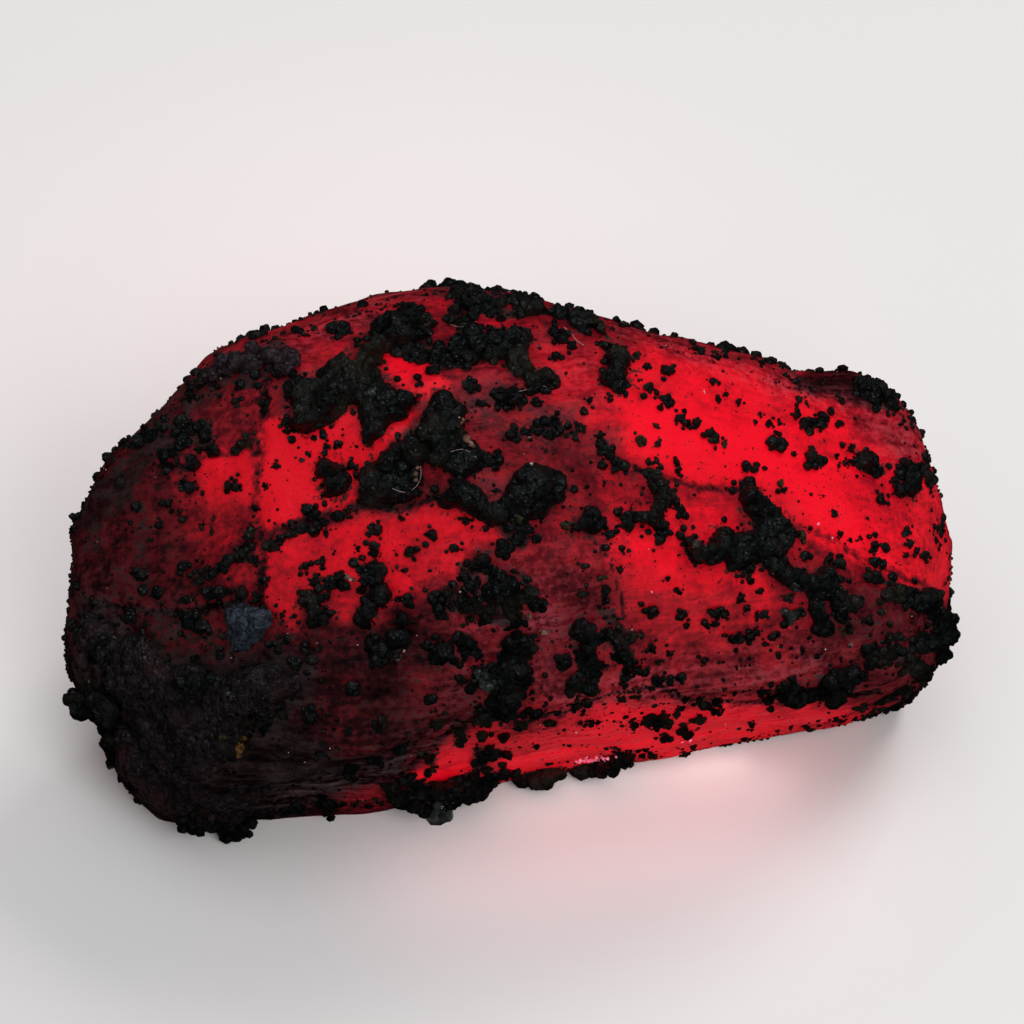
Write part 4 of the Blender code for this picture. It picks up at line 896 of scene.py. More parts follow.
crustPatch = {
    "gapReach": 0.46,  # what lies nearer the ruby than this is sunk in it
    "sink": 0.15,
    "pull": 0.25,  # the lumps and grains make up for it
    "voxel": 0.134,
    "smoothing": 3,  # passes
    "lumps": ((1.7, 0.26), (0.75, 0.13), (0.33, 0.07)),  # size and height
    "lumpRoundness": 3.4,
    "bareSoft": 0.25,  # edge of the places left bare, and how deep the crust sinks there
    "bareSink": 0.3,
    "grainsPerArea": 3.2,  # per square millimetre
    "grainClear": 0.1,  # grains start this far above the ruby
    "grainSink": 0.45,  # share of the radius
    "grainRadius": (0.09, 0.36),
    "smallBias": 1.6,
    "bigGrainShare": 0.12,
    "bigGrainRadius": (0.36, 0.62),
}

# the thick crust on the shoulder, in larger lumps
thickCrust = {
    **crustPatch,
    "lumps": ((2.2, 0.36), (0.95, 0.14), (0.36, 0.06)),
    "grainsPerArea": 2.0,
}

leftCoat = {
    **crustPatch,
    "lumps": ((2.6, 0.12), (1.0, 0.07), (0.4, 0.05)),
    "grainsPerArea": 2.4,
    "grainRadius": (0.05, 0.2),
    "bigGrainShare": 0.05,
    "bigGrainRadius": (0.25, 0.6),
}

patchKinds = {
    "crust_left_end": leftCoat,
    "crust_shoulder": thickCrust,
    "crust_middle": thickCrust,
    "crust_left_of_middle": thickCrust,
    "crust_front_chain": thickCrust,
    "crust_right_cross": thickCrust,
}


def makeCrust(nodeName, kinds, rubyTree, patch, seed):
    rng = random.Random(seed)
    piece = copyNode(nodeName, nodeName.replace("crust_", "crustPiece_"))
    for vertex in piece.data.vertices:
        spot, out, _, distance = rubyTree.find_nearest(vertex.co)
        if distance < patch["gapReach"]:
            vertex.co = spot - out * patch["sink"]
        else:
            vertex.co -= out * patch["pull"]
    addModifier(piece, "REMESH", mode="VOXEL", voxel_size=patch["voxel"])
    addModifier(piece, "SMOOTH", factor=0.5, iterations=patch["smoothing"])
    mesh = piece.data
    points, normals = readPoints(mesh), readNormals(mesh)
    height = np.zeros(len(points))
    for size, rise in patch["lumps"]:
        cells = np.array([noise.voronoi(Vector(p) / size)[0][0] for p in points])
        height += rise * (1.0 - patch["lumpRoundness"] * cells**2)
    points += normals * height[:, None]
    if not nodeName.startswith("crust_back"):
        bare = insideLines(*toMap(points), crustGaps, patch["bareSoft"])
        for i in np.flatnonzero(bare > 0.02):
            spot, out, _, _ = rubyTree.find_nearest(Vector(points[i]))
            points[i] += (np.array(spot - out * patch["bareSink"]) - points[i]) * bare[i]
    points[:, 2] = np.maximum(points[:, 2], 0.0)
    writePoints(mesh, points)

    # grains grown on the patch
    places = []
    areas = [p.area for p in mesh.polygons]
    wanted = int(sum(areas) * patch["grainsPerArea"])
    for face in rng.choices(list(mesh.polygons), areas, k=wanted):
        spot = face.center
        near, out, _, distance = rubyTree.find_nearest(spot)
        if distance > patch["grainClear"] and (spot - near).dot(out) > 0.0:
            big = rng.random() < patch["bigGrainShare"]
            low, high = patch["bigGrainRadius"] if big else patch["grainRadius"]
            radius = low + (high - low) * rng.random() ** patch["smallBias"]
            places.append((spot - face.normal * radius * patch["grainSink"], face.normal, radius))
    if places:
        grainPoints, grainFaces = placeGrains(kinds, places, rng)
        allPoints = np.concatenate([readPoints(mesh), grainPoints])
        allFaces = readFaces(mesh).tolist() + (grainFaces + len(points)).tolist()
        piece.data = newMesh(piece.name, allPoints, allFaces)
    return smoothGrains(piece)


# Grains that lie alone, as u, v and radius on the map.
looseGrains = {
    "grainsUpperRight": (
        (13.0, 3.4, 0.5), (13.4, 3.2, 0.4), (14.9, 2.7, 0.45), (15.3, 2.5, 0.4), (11.7, 2.3, 0.35),
        (12.1, 2.1, 0.3), (14.2, 4.8, 0.3), (14.6, 4.4, 0.4), (14.8, 4.0, 0.25), (15.1, 4.5, 0.3),
        (15.5, 4.7, 0.4), (15.4, 4.3, 0.3), (8.4, 4.7, 0.3), (8.7, 4.4, 0.3), (9.2, 4.4, 0.3),
        (9.9, 3.9, 0.35), (10.1, 3.6, 0.3), (7.6, 5.6, 0.35), (7.9, 5.4, 0.3), (7.2, 5.9, 0.2),
        (7.7, 7.0, 0.35), (6.7, 7.3, 0.2), (6.2, 7.8, 0.25), (4.6, 8.3, 0.35), (10.0, 6.5, 0.25),
        (10.3, 5.6, 0.2), (10.7, 5.9, 0.15), (11.3, 5.5, 0.2), (6.6, 3.5, 0.25), (7.3, 3.4, 0.2),
        (7.2, 4.3, 0.2), (8.2, 2.5, 0.2), (8.3, 2.1, 0.25), (6.8, 2.5, 0.2), (7.4, 2.3, 0.2), (9.0, 8.4, 0.3),
        (9.4, 8.0, 0.3), (10.3, 7.7, 0.25), (12.5, 7.4, 0.2), (13.7, 6.8, 0.2), (14.1, 6.5, 0.25),
        (14.3, 5.6, 0.25), (14.7, 5.4, 0.15), (16.5, 5.5, 0.2), (16.4, 4.4, 0.25), (12.4, 4.9, 0.15),
        (12.2, 4.5, 0.15), (12.8, 4.4, 0.2), (13.4, 4.4, 0.15), (16.5, 3.3, 0.2), (16.9, 3.1, 0.2),
        (16.2, 2.8, 0.15), (16.6, 2.4, 0.2), (17.8, 6.3, 0.4), (18.3, 6.2, 0.5), (18.7, 5.8, 0.5),
        (18.1, 5.6, 0.5), (18.9, 5.3, 0.4), (17.7, 5.8, 0.4), (17.2, 2.5, 0.3), (13.6, 1.1, 0.2),
        (11.0, 1.1, 0.25), (18.4, 0.6, 0.3), (18.8, 0.8, 0.15), (16.1, -0.1, 0.25), (16.4, -1.1, 0.2),
        (16.9, -1.4, 0.15), (17.4, -1.3, 0.15), (14.9, -0.8, 0.15), (14.6, -2.2, 0.3), (18.1, -1.7, 0.3),
        (18.6, -1.8, 0.35), (18.1, -2.5, 0.4), (18.5, -2.6, 0.3), (19.7, -1.0, 0.3), (19.9, -1.6, 0.25),
        (20.2, -2.0, 0.25), (20.6, -2.2, 0.3), (19.7, -2.2, 0.15), (4.5, 3.3, 0.35), (4.9, 2.9, 0.4),
        (5.2, 2.5, 0.4), (5.6, 2.3, 0.35), (4.5, 2.3, 0.3), (8.2, 0.4, 0.3), (8.4, 0.1, 0.3),
        (8.6, -0.2, 0.3), (7.4, -1.4, 0.35), (4.9, -1.1, 0.3), (3.9, 5.6, 0.2), (4.9, 5.6, 0.2),
        (3.6, 5.0, 0.25), (3.4, 4.2, 0.3), (2.2, 4.6, 0.25), (2.8, 4.3, 0.25), (4.4, 3.8, 0.25),
    ),
    "grainsLowerRight": (
        (16.4, -2.6, 0.4), (15.8, -2.4, 0.3), (17.3, -4.6, 0.4), (17.8, -5.4, 0.3), (18.1, -3.3, 0.5),
        (18.8, -6.3, 0.4), (19.3, -6.2, 0.3), (12.6, -5.1, 0.3), (12.3, -5.2, 0.2), (12.4, -4.0, 0.2),
        (11.4, -4.3, 0.25), (11.7, -4.8, 0.2), (10.2, -5.0, 0.3), (10.6, -5.1, 0.3), (9.6, -5.5, 0.25),
        (9.8, -5.7, 0.2), (10.2, -5.6, 0.2), (8.4, -5.2, 0.35), (7.0, -4.9, 0.35), (8.2, -3.9, 0.2),
        (7.8, -3.3, 0.15), (5.5, -1.8, 0.2), (5.4, -2.9, 0.2), (4.7, -1.8, 0.25), (3.6, -2.7, 0.2),
        (3.5, -4.1, 0.25), (4.7, -4.4, 0.25), (11.0, -6.3, 0.35), (11.4, -6.3, 0.35), (11.9, -6.2, 0.3),
        (12.2, -6.0, 0.25), (13.0, -6.2, 0.3), (12.6, -6.6, 0.2), (13.3, -7.1, 0.2), (14.5, -6.9, 0.15),
        (9.6, -7.4, 0.25), (7.9, -7.1, 0.2), (7.3, -7.5, 0.2), (7.0, -6.8, 0.25), (7.4, -8.4, 0.25),
        (7.9, -8.5, 0.25), (8.5, -8.4, 0.2), (6.2, -7.9, 0.35), (6.6, -8.0, 0.3), (5.8, -7.5, 0.35),
        (12.8, -9.3, 0.4), (12.9, -9.8, 0.25), (13.4, -8.7, 0.35), (10.2, -9.5, 0.3), (9.6, -9.6, 0.35),
        (10.2, -9.9, 0.3), (9.3, -10.3, 0.3), (8.6, -10.7, 0.25), (8.5, -9.8, 0.2), (8.2, -10.1, 0.25),
        (7.6, -11.3, 0.3), (7.9, -11.3, 0.25), (12.0, -10.6, 0.25), (6.1, -10.6, 0.3), (6.9, -10.4, 0.35),
        (7.3, -10.4, 0.35), (7.7, -10.5, 0.3), (5.5, -9.3, 0.25), (3.3, -9.6, 0.3), (3.8, -9.6, 0.25),
        (3.0, -8.5, 0.4), (3.4, -8.6, 0.4), (2.9, -9.0, 0.35), (4.0, -8.4, 0.35), (4.0, -7.2, 0.35),
        (4.4, -7.6, 0.35), (8.7, -12.1, 0.2), (6.9, -12.2, 0.2), (16.4, -10.5, 0.15), (17.5, -9.8, 0.3),
        (22.1, -4.0, 0.2), (13.8, -5.2, 0.4), (14.2, -5.1, 0.35), (4.7, -3.9, 0.3), (1.0, -13.5, 0.35),
        (0.6, -13.7, 0.3), (1.8, -10.5, 0.3), (2.1, -10.5, 0.2), (8.6, -12.0, 0.2), (8.8, -12.3, 0.15),
    ),
    "grainsLeft": (
        (-11.3, 4.5, 0.3), (-11.2, 4.0, 0.2), (-11.0, 3.6, 0.25), (-10.2, 2.9, 0.15), (-9.4, 3.8, 0.25),
        (-9.3, 3.2, 0.2), (-8.7, 3.4, 0.25), (-8.0, 2.3, 0.25), (-11.8, 2.3, 0.2), (-14.15, 1.3, 0.3),
        (-13.8, 1.25, 0.3), (-12.3, 1.3, 0.15), (-12.8, 0.2, 0.2), (-10.2, 0.1, 0.4), (-9.8, -0.1, 0.3),
        (-11.0, -0.6, 0.25), (-9.3, -1.0, 0.2), (-6.7, -0.9, 0.4), (-7.0, -1.0, 0.25), (-6.9, -1.7, 0.3),
        (-6.9, -2.1, 0.25), (-5.1, -2.0, 0.35), (-5.3, -2.9, 0.2), (-4.0, -1.1, 0.3), (-2.8, -1.8, 0.25),
        (-7.7, -1.8, 0.15), (-9.5, -2.5, 0.25), (-10.3, -2.7, 0.25), (-9.8, -3.2, 0.2), (-8.8, -3.4, 0.25),
        (-7.6, -2.9, 0.25), (-12.4, -3.4, 0.25), (-12.7, -4.3, 0.25), (-13.1, -1.2, 0.4), (-11.9, -1.8, 0.3),
        (-15.5, -0.8, 0.2), (-15.0, -1.0, 0.15), (-17.6, -0.7, 0.25), (-16.5, -0.4, 0.25), (-17.2, 0.4, 0.3),
        (-16.2, 1.2, 0.3), (-13.8, 5.5, 0.3), (-12.4, 5.4, 0.3), (-16.1, 5.9, 0.3), (-11.8, 6.9, 0.3),
        (-8.7, 8.7, 0.25), (-18.0, 3.8, 0.5), (-18.6, 3.5, 0.5), (-19.4, 3.4, 0.35), (-22.0, -0.2, 0.3),
        (-16.4, -2.7, 0.35), (-15.2, -4.0, 0.35), (-16.3, -4.4, 0.3), (-16.2, -5.5, 0.5), (-15.5, -5.7, 0.5),
        (-15.8, -8.6, 0.7), (-16.5, -8.5, 0.5), (-19.0, -5.2, 0.5), (-20.4, -6.4, 0.4), (-20.5, -7.2, 0.5),
        (-20.1, -11.3, 0.45), (-20.0, -12.6, 0.35), (-16.5, -15.3, 0.5), (-14.6, -15.7, 0.4),
        (-13.9, -16.0, 0.5), (-13.1, -15.5, 0.4), (-10.1, -10.2, 0.5), (-9.3, -14.4, 0.5),
        (-9.2, -14.8, 0.45), (-10.6, -14.7, 0.35), (-6.1, -14.0, 0.4), (-4.9, -14.7, 0.45),
        (-4.4, -15.0, 0.5), (-3.9, -15.3, 0.45), (-14.2, -16.1, 0.55), (-13.7, -16.2, 0.4),
        (-15.6, -15.9, 0.4), (-16.0, -15.7, 0.3),
    ),
    "grainsMiddle": (
        (-2.2, 6.3, 0.35), (-1.7, 6.2, 0.25), (1.2, 5.4, 0.35), (-1.5, 5.4, 0.2), (2.1, 9.0, 0.35),
        (2.5, 8.6, 0.35), (3.0, 8.3, 0.3), (2.2, 7.8, 0.3), (-1.1, 9.1, 0.3), (-5.2, 10.2, 0.35),
        (-1.3, 2.6, 0.4), (-5.2, -4.5, 0.35), (-5.4, -5.4, 0.4), (-3.6, -5.2, 0.3), (-2.4, -3.2, 0.3),
        (-0.4, -1.8, 0.45), (0.3, -1.3, 0.35),
    ),
}

# Rows of grains: how many, how far they stray, smallest and largest radius, and the line.
grainRows = (
    (420, 0.2, 0.08, 0.34, ((17.2, 6.5), (18.4, 6.4), (19.2, 5.4), (20.2, 4.2), (20.8, 2.6), (21.1, 1.0),
                            (21.3, -0.8), (21.8, -2.4), (22.1, -4.4), (22.1, -6.4), (21.5, -8.0),
                            (20.4, -9.1), (18.6, -9.9), (17.0, -10.2))),
    (55, 0.12, 0.05, 0.14, ((5.2, 9.05), (8.0, 8.2), (10.0, 7.45), (12.5, 6.65), (14.6, 5.95))),
    (200, 0.15, 0.05, 0.18, ((-22.2, -0.8), (-20.2, 2.2), (-18.0, 4.0), (-16.2, 6.1), (-14.5, 7.7),
                             (-11.4, 8.5), (-9.0, 9.4), (-6.0, 10.4), (-3.4, 10.8))),
    (110, 0.14, 0.06, 0.2, ((-22.2, -0.6), (-22.3, -3.0), (-22.4, -6.0), (-22.0, -8.4))),
    (150, 0.14, 0.07, 0.22, ((-1.2, -14.0), (0.4, -13.5), (2.0, -13.1), (4.0, -12.7), (6.0, -12.1),
                             (8.6, -12.0), (10.8, -11.8), (13.0, -11.1), (15.0, -10.7), (17.0, -10.3))),
    (90, 0.16, 0.08, 0.3, ((-12.6, -15.3), (-10.8, -14.8), (-9.0, -14.6), (-7.6, -14.6), (-6.0, -14.3))),
    (200, 0.3, 0.05, 0.2, ((0.0, -10.4), (2.6, -9.7), (4.8, -8.9), (8.0, -9.4), (11.0, -9.2))),
    (70, 0.22, 0.05, 0.18, ((2.6, -11.0), (5.0, -10.4), (6.2, -10.6), (8.0, -10.2))),
    (50, 0.18, 0.05, 0.18, ((-12.9, 5.0), (-12.5, 3.0), (-12.7, 1.2), (-12.9, -0.4), (-12.6, -2.0),
                            (-12.5, -4.0))),
    (25, 0.18, 0.05, 0.18, ((-8.4, 0.3), (-5.5, 0.3), (-3.6, 0.7))),
)

# Grains of other colours: their material, then u, v and radius on the map.
oddGrains = {
    "grainsOchre": ("limonite", (
        (-13.6, -11.8, 0.3), (-13.4, -11.3, 0.16), (-13.7, -12.2, 0.14),
    )),
    "grainsOlive": ("epidote", (
        (0.35, -0.3, 0.3), (2.6, -0.7, 0.28), (6.4, 3.6, 0.3), (14.5, -1.2, 0.28), (13.4, 1.4, 0.22),
        (4.4, -3.3, 0.22), (-4.0, -12.8, 0.3), (-4.6, -12.0, 0.25), (-14.4, -11.2, 0.25), (16.6, -6.0, 0.2),
        (-20.0, -12.7, 0.25), (10.6, 3.4, 0.2),
    )),
    "grainsTan": ("feldspar", (
        (-4.75, 2.2, 0.14), (-4.8, 1.9, 0.15), (-4.8, 1.6, 0.14), (-2.3, 3.7, 0.24), (-2.1, 3.4, 0.2),
        (-2.5, 4.6, 0.16), (-8.6, -3.3, 0.16), (-8.2, -3.25, 0.2), (-7.9, -3.4, 0.12), (1.6, -6.0, 0.2),
        (0.9, -5.2, 0.16), (16.9, -6.6, 0.16),
    )),
    "grainsGlassy": ("greyQuartzAndGlints", (
        (-1.5, -8.3, 0.42), (-1.7, -8.0, 0.3), (-1.2, -8.7, 0.35), (-5.8, -7.2, 0.3), (13.9, -5.2, 0.42),
        (14.0, -3.7, 0.36), (-3.7, -15.1, 0.78), (-3.6, -15.5, 0.55), (-3.4, -15.2, 0.5), (-3.9, -15.4, 0.5),
        (-3.9, -14.8, 0.35), (-10.5, 2.6, 0.2), (-7.0, 5.9, 0.25), (-13.9, -9.2, 0.3), (2.5, 1.5, 0.2),
        (9.2, -1.6, 0.22),
    )),
    "grainsMica": ("paleMicaAndSparkles", (
        (-8.35, -3.2, 0.14), (-8.1, -3.35, 0.12), (-5.4, -6.9, 0.09), (-3.2, -15.4, 0.12),
        (-3.5, -14.7, 0.08), (1.0, 2.4, 0.09), (9.6, 6.0, 0.07), (2.9, 8.9, 0.07),
    )),
    # painted highlights: pink-white specks where light comes through the thin lower edge
    "paintedHighlightChips": ("paintedEdgeHighlight", (
        (3.2, -12.45, 0.1), (3.4, -12.4, 0.14), (3.6, -12.4, 0.15), (3.8, -12.4, 0.16), (4.0, -12.38, 0.16),
        (4.2, -12.36, 0.15), (4.4, -12.36, 0.15), (4.6, -12.34, 0.13), (4.8, -12.32, 0.12),
        (5.2, -12.25, 0.08), (8.9, -11.4, 0.12), (8.5, -11.5, 0.08), (15.3, -0.6, 0.08), (16.0, -1.3, 0.07),
        (7.0, -4.0, 0.05),
    )),
}

looseGrain = {
    "growth": 0.98,
    "mainSize": 0.85,
    "beside": 6,  # smaller grains beside each
    "besideOdd": 3,
    "besideSize": (0.25, 0.65),
    "besideSpread": 0.6,
    "rise": 0.2,  # how far a grain's middle stands out, as a share of its radius
    "reach": 0.4,  # how far it may stand out past the stone's edge
}

grainRow = {
    "knotSize": 1.1,
    "knotGap": (-0.5, 0.1),  # grains stay away where the knots are weaker than this
    "knotGrowth": 0.6,
    "sink": 0.1,
}

# Coats of scattered grains: how many, and smallest and largest radius.
grainCoats = {
    "fine": (2700, 0.035, 0.13),
    "clump": (680, 0.10, 0.44),
    "fringe": (1700, 0.06, 0.24),
    "thin": (1400, 0.09, 0.34),
    # the pale ones are painted sparkles, and the glint ones painted glints on the crust
    "pale": (150, 0.025, 0.06),
    "glint": (420, 0.03, 0.075),
}

# Where the coats gather. Noise is a middle value, then reach, size and offset.
grainCover = {
    "fineBase": 0.12,
    "fineNoise": (0.25, (1.0, 1.1, 90.0)),
    "clumpNoise": (0.1, (1.0, 1.6, 95.0)),
    "fringeNoise": (0.4, (1.0, 1.4, 97.0)),
    "thinNoise": (0.7, (1.0, 0.8, 99.0)),
    "standing": 0.4,  # the lowest that they lie
    "back": (3.0, 0.45),  # clumps on the far side: from how far back, and how many
    "clumpsOffRim": 0.8,
    "besidePower": 1.5,
    "rimShare": 0.6,
}

# Where fine grains gather: strength, softness and line.
fineGrainZones = (
    (0.9, 1.5, ((-22.6, 2.0), (-17.8, 5.8), (-11.0, 8.6), (-13.0, 3.4), (-15.2, -3.0), (-8.0, -6.0),
                (-4.0, -12.0), (-20.0, -16.6))),
    (0.8, 1.2, ((-3.0, -3.0), (5.0, -3.0), (9.0, -9.4), (-3.0, -12.0))),
    (0.8, 1.0, ((12.0, -5.0), (21.4, -4.4), (20.4, -9.2), (9.0, -9.6))),
    (0.7, 0.8, ((-8.0, 1.0), (-8.4, 6.4), (-3.0, 5.6), (4.4, 4.4), (3.4, -0.6))),
    (0.6, 0.8, ((4.0, 9.8), (15.0, 6.4), (19.0, 5.4), (13.0, 5.4), (4.0, 7.4))),
)

clumpZones = (
    (1.0, 1.2, ((-21.6, -2.0), (-16.0, -3.4), (-10.0, -6.0), (-6.0, -11.6), (-5.4, -13.6), (-12.0, -13.0),
                (-16.0, -8.0), (-21.6, -6.4))),
    (0.8, 1.0, ((-21.6, 0.6), (-15.6, 7.0), (-13.0, 6.4), (-16.0, 0.0), (-21.6, -2.0))),
    (0.7, 1.0, ((-4.0, -6.4), (4.4, -6.4), (4.4, -9.2), (-1.0, -11.6), (-6.0, -11.6))),
    (0.5, 0.9, ((12.6, -6.6), (21.0, -5.0), (20.6, -8.6), (12.6, -9.4))),
    (0.4, 0.9, ((14.0, -2.4), (21.2, -4.6), (20.6, -6.6), (14.6, -6.0))),
)


def nearestOnRay(tree, u, v):
    # the point of the eye's line that passes nearest the stone
    direction = throughMap(u, v)
    reach, step = stoneMap["searchSteps"], stoneMap["searchStep"]
    line = [mapEye + direction * (stoneMap["eyeDistance"] + i * step) for i in range(-reach, reach + 1)]
    return min(line, key=lambda p: tree.find_nearest(p)[3])


def onStone(tree, u, v, reach=0.0):
    # The place on the stone, and the way out of it, that a place on the map stands for.
    # One past the stone's edge may stand out from it, as far as it reaches.
    spot, out, _, _ = tree.ray_cast(mapEye, throughMap(u, v))
    if spot is None:
        past = nearestOnRay(tree, u, v)
        spot, out, _, distance = tree.find_nearest(past)
        spot = spot.lerp(past, min(1.0, reach / distance))
    return spot, out


def makeLooseGrains(name, grains, kinds, tree, beside, seed):
    rng = random.Random(seed)
    spread, sizes = looseGrain["besideSpread"], looseGrain["besideSize"]
    places = []
    for u, v, radius in grains:
        radius *= looseGrain["growth"]
        more = [(rng.gauss(0, spread), rng.gauss(0, spread), rng.uniform(*sizes)) for _ in range(beside)]
        for shiftU, shiftV, size in [(0.0, 0.0, looseGrain["mainSize"])] + more:
            reach = radius * size * looseGrain["reach"]
            spot, out = onStone(tree, u + shiftU * radius, v + shiftV * radius, reach)
            places.append((spot + out * radius * size * looseGrain["rise"], out, radius * size))
    return grainPiece(name, kinds, places, rng)


def makeGrainRows(name, kinds, tree, seed):
    rng = random.Random(seed)
    places = []
    for count, stray, low, high, line in grainRows:
        runs = [(a, b, math.dist(a, b)) for a, b in zip(line, line[1:])]
        for (u0, v0), (u1, v1), _ in rng.choices(runs, [run[2] for run in runs], k=count):
            along = rng.random()
            u, v = u0 + (u1 - u0) * along, v0 + (v1 - v0) * along
            crowd = noise.noise(Vector((u, v, 5.0)) / grainRow["knotSize"])  # they gather in knots
            if crowd < rng.uniform(*grainRow["knotGap"]):
                continue
            radius = low + (high - low) * rng.random() ** 2.0 * min(1.0, grainRow["knotGrowth"] + crowd)
            spot, out = onStone(tree, u + rng.gauss(0, stray), v + rng.gauss(0, stray))
            places.append((spot - out * radius * grainRow["sink"], out, radius))
    return grainPiece(name, kinds, places, rng)


def scatterGrains(name, coat, kinds, stone, weight, seed):
    # grains on the stone, more of them where the weight is high
    rng = random.Random(seed)
    vertices = stone.data.vertices
    count, low, high = grainCoats[coat]
    places = []
    for i in rng.choices(range(len(weight)), weight.tolist(), k=count):
        radius = low + (high - low) * rng.random() ** 2.0
        out = vertices[i].normal
        places.append((vertices[i].co + out * radius * looseGrain["rise"], out, radius))
    return grainPiece(name, kinds, places, rng)


def makeGlints(name, kinds, pieces, seed):
    # painted glints: tiny bright chips on the crust
    rng = random.Random(seed)
    spots = [(p.center.copy(), p.normal.copy(), p.area) for piece in pieces for p in piece.data.polygons]
    count, low, high = grainCoats["glint"]
    places = []
    for spot, out, _ in rng.choices(spots, [area for _, _, area in spots], k=count):
        radius = rng.uniform(low, high)
        places.append((spot + out * radius * 0.3, out, radius))
    return grainPiece(name, kinds, places, rng)


def grainWeights(stone, layers):
    points = readPoints(stone.data)
    u, v = toMap(points)
    standing = points[:, 2] > grainCover["standing"]
    fine = np.maximum(grainCover["fineBase"], strongestZone(u, v, fineGrainZones))
    fine = np.maximum(fine, layers["film"]) * np.clip(cloudy(points, *grainCover["fineNoise"]), 0.02, 1.0)
    back, backShare = grainCover["back"]
    clumps = np.maximum(strongestZone(u, v, clumpZones), backShare * (points[:, 1] > back))
    offRim = 1.0 - grainCover["clumpsOffRim"] * layers["rim"]
    clumps *= np.clip(cloudy(points, *grainCover["clumpNoise"]), 0.0, 1.0) * offRim
    thin = layers["thin"] * np.clip(cloudy(points, *grainCover["thinNoise"]), 0.1, 1.0)
    knots = np.clip(cloudy(points, *grainCover["fringeNoise"]), 0.0, 1.0)
    fringe = layers["beside"] ** grainCover["besidePower"]
    fringe = np.maximum(fringe, grainCover["rimShare"] * layers["rim"] * knots)
    return {"fine": fine * standing, "clump": clumps * standing, "fringe": fringe * standing, "thin": thin}


# Lint caught on the stone: lines on the map.
lint = {
    "radius": 0.011,
    "above": 0.05,
    "sides": 2,
    "lines": (
        ((0.3, 6.0), (0.8, 6.1), (1.3, 6.3), (1.8, 6.2), (2.2, 6.4)),
        ((2.6, 9.2), (3.0, 8.9), (3.2, 8.5), (3.6, 8.3)),
        ((-3.1, 3.0), (-2.6, 3.15), (-2.1, 3.0), (-1.8, 2.7)),
        ((-3.2, 9.4), (-2.8, 9.2), (-2.2, 9.25), (-1.8, 9.5)),
        ((-6.0, 1.2), (-5.4, 0.9), (-4.9, 1.1), (-4.5, 1.7), (-4.6, 2.3)),
    ),
    "shades": ((0.3, "#7d5f60"), (0.7, "#b8a5a2")),
    "wispSize": 0.4,
    "roughness": 0.8,
}


def makeLint(tree):
    # thin fibres, each a bevelled curve made a mesh
    curve = bpy.data.curves.new("lintFibres", "CURVE")
    curve.dimensions = "3D"
    curve.bevel_depth = lint["radius"]
    curve.bevel_resolution = lint["sides"]
    for line in lint["lines"]:
        spline = curve.splines.new("NURBS")
        spline.points.add(len(line) - 1)
        for point, (u, v) in zip(spline.points, line):
            spot, out = onStone(tree, u, v)
            point.co = (*(spot + out * lint["above"]), 1.0)
        spline.use_endpoint_u = True
        spline.order_u = 3
    selectOnly(addObject("lintFibres", curve))
    bpy.ops.object.convert(target="MESH")
    bpy.ops.object.shade_smooth()
    return bpy.context.active_object


def cottonLint():
    # cotton lint: thin, soft and whitish
    material, tree, shader = startMaterial("cottonLint")
    place = addNode(tree, "TexCoord").outputs["Object"]
    wisps = addNode(tree, "TexNoise", {"Vector": place, "Scale": perMetre / lint["wispSize"]})
    shades = addNode(tree, "ValToRGB", {"Fac": wisps})
    setRamp(shades, lint["shades"])
    setInputs(tree, shader, {"Base Color": shades, "Roughness": lint["roughness"]})
    return material


grainKinds = makeGrainKinds()
rubyBody, rubyLayers = makeRuby()
rubyTree = treeOf(rubyBody)
print("ruby:", len(rubyBody.data.polygons), "faces")

crustPieces = {}
for number, nodeName in enumerate(sorted(n for n in cadNodes if n.startswith("crust_"))):
    patch = patchKinds.get(nodeName, crustPatch)
    crustPieces[nodeName] = makeCrust(nodeName, grainKinds, rubyTree, patch, number)
print("crust:", sum(len(p.data.polygons) for p in crustPieces.values()), "faces")

crustTree = treeOf(*crustPieces.values())
allTree = treeOf(*crustPieces.values(), rubyBody)
rubyLayers["beside"] = filmAround(crustTree, rubyBody, rubyLayers, *rubyStone["filmBesideCrust"])
filmAround(treeOf(crustPieces["crust_left_end"]), rubyBody, rubyLayers, *rubyStone["filmBesideCoat"])

loose = []
for number, (name, grains) in enumerate(looseGrains.items()):
    carrier = allTree if name == "grainsLeft" else rubyTree  # the left ones lie on the coat
    loose.append(makeLooseGrains(name, grains, grainKinds, carrier, looseGrain["beside"], 200 + number))
loose.append(makeGrainRows("grainsInRows", grainKinds, rubyTree, seed=210))
weights = grainWeights(rubyBody, rubyLayers)
for name, coat, seed in (
    ("grainsFine", "fine", 77), ("grainsClumped", "clump", 78),
    ("grainsFringe", "fringe", 79), ("grainsThinCrust", "thin", 81),
):
    loose.append(scatterGrains(name, coat, grainKinds, rubyBody, weights[coat], seed))
odd = []
for number, (name, (mineral, grains)) in enumerate(oddGrains.items()):
    piece = makeLooseGrains(name, grains, grainKinds, allTree, looseGrain["besideOdd"], 220 + number)
    odd.append((piece, mineral))
# painted sparkles: tiny pale flakes where the fine grains gather
odd.append((scatterGrains("paintedSparkles", "pale", grainKinds, rubyBody, weights["fine"], seed=80), "paleMicaAndSparkles"))
# painted glints on the crust
odd.append((makeGlints("grainsGlinting", grainKinds, crustPieces.values(), seed=230), "greyQuartzAndGlints"))
print("loose grains:", sum(len(p.data.polygons) for p in loose), "faces")

paint(rubyBody, rubyLayers, ("paintedLight", "frost", "crack", "film"))
selectOnly(rubyBody)
bpy.ops.object.shade_smooth()
finishPiece(rubyBody, rawCorundum(), "ruby", "ruby_crystal")

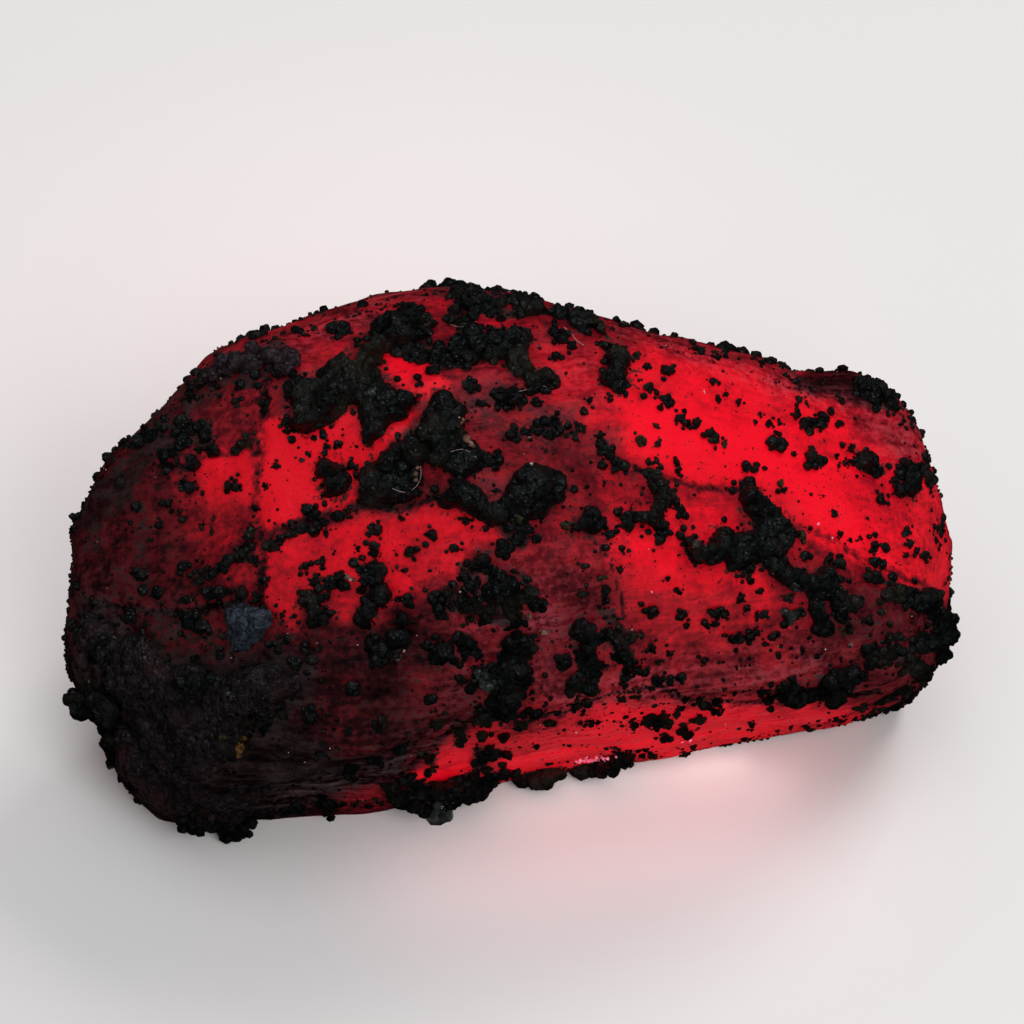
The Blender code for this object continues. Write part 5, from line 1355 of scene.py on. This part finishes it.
minerals = {
    name: granularMineral(name, look)
    for name, look in (
        ("granularHornblende", crustLook),
        ("coarseHornblendeCoat", coatLook),
        ("dustyHornblende", dustyLook),
        ("greyHornblendeSheen", greyLumpSheenLook),
        ("limonite", ochreLook),
        ("epidote", oliveLook),
        ("feldspar", tanLook),
        ("greyQuartzAndGlints", glassyLook),
        ("paleMicaAndSparkles", micaLook),
        ("paintedEdgeHighlight", pinkHighlightLook),
    )
}
oddPatches = {
    "crust_left_end": "coarseHornblendeCoat",
    "crust_left_edge": "dustyHornblende",
    "crust_grey_lump": "greyHornblendeSheen",
}
for nodeName, piece in crustPieces.items():
    mineral = oddPatches.get(nodeName, "granularHornblende")
    finishPiece(piece, minerals[mineral], "black_mineral", nodeName)
for piece in loose:
    finishPiece(piece, minerals["granularHornblende"], "black_mineral")
for piece, mineral in odd:
    finishPiece(piece, minerals[mineral], "black_mineral")
finishPiece(makeLint(allTree), cottonLint(), "black_mineral")
print("pieces dressed")

studio = {
    "floor": "#e0dfdf",
    "floorSize": 3.0,  # metres
    "world": "#f2f0f0",
    "worldStrength": 0.37,
    # place in metres, width and depth, power in watts, colour, seen in gloss
    "lights": {
        "backSoftbox": ((0.53, 0.45, 0.60), (0.4, 0.4), 4.25, "#fff9f6", False),
        "topSoftbox": ((-0.04, 0.02, 0.50), (0.35, 0.35), 0.35, "#f4f8ff", True),
        "glintSoftbox": ((0.05, -0.02, 0.45), (0.22, 0.22), 0.10, "#f4faff", True),
        "frontFill": ((0.12, -0.42, 0.36), (0.3, 0.3), 1.6, "#fffdfc", False),
        "glowUnderStone": ((0.0055, -0.0086, 0.0018), (0.016, 0.002), 0.000045, "#fff4f2", False),
        "edgeGlow": ((0.0060, -0.0074, 0.0009), (0.011, 0.001), 0.00002, "#fff6f4", False),
        "warmGlow": ((-0.0070, 0.0290, 0.0220), (0.030, 0.014), 0.0015, "#ffd5d2", False),
        "pinkGlow": ((0.0030, -0.0123, 0.0048), (0.022, 0.006), 0.00026, "#ffc3c9", False),
    },
    "lampHeight": 0.1,  # lamps below this shine straight down
    "aim": Vector((0.0, 0.0, 0.01)),
}


def makeFloor():
    bpy.ops.object.select_all(action="DESELECT")
    bpy.ops.mesh.primitive_plane_add(size=studio["floorSize"], location=(0.0, 0.0, 0.0))
    floor = bpy.context.active_object
    floor.name = "paleFloor"
    material, tree, shader = startMaterial("mattPaper")  # matt white paper: even and without shine
    pale = colour(studio["floor"])
    setInputs(tree, shader, {"Base Color": pale, "Roughness": 0.9, "Specular IOR Level": 0.15})
    floor.data.materials.append(material)
    floor.visible_glossy = False  # keeps a white sheen off the dark sides


def makeLights():
    for name, (spot, (width, depth), power, tint, glossy) in studio["lights"].items():
        lamp = bpy.data.lights.new(name, "AREA")
        lamp.shape = "RECTANGLE"
        lamp.size, lamp.size_y = width, depth
        lamp.energy = power
        lamp.color = colour(tint)[:3]
        holder = addObject(name, lamp)
        holder.location = spot
        if spot[2] > studio["lampHeight"]:
            holder.rotation_euler = (studio["aim"] - Vector(spot)).to_track_quat("-Z", "Y").to_euler()
        holder.visible_camera = False
        holder.visible_transmission = False
        holder.visible_glossy = glossy
    world = bpy.data.worlds.new("studioAir")
    world.use_nodes = True
    air = next(n for n in world.node_tree.nodes if n.type == "BACKGROUND")
    setInputs(world.node_tree, air, {"Color": colour(studio["world"]), "Strength": studio["worldStrength"]})
    world.cycles_visibility.glossy = False
    bpy.context.scene.world = world


def makeCamera():
    lens = bpy.data.cameras.new("camera")
    lens.sensor_width = 36.0
    lens.lens = lens.sensor_width * stoneMap["eyeDistance"] / stoneMap["width"]
    lens.clip_start = 0.01
    camera = addObject("camera", lens)
    turn = Matrix((mapRight, mapUp, mapOut)).transposed().to_4x4()
    camera.matrix_world = Matrix.Translation(mapEye / perMetre) @ turn
    bpy.context.scene.camera = camera


makeFloor()
makeLights()
makeCamera()
bpy.context.scene.view_settings.view_transform = "Standard"
print("studio ready")
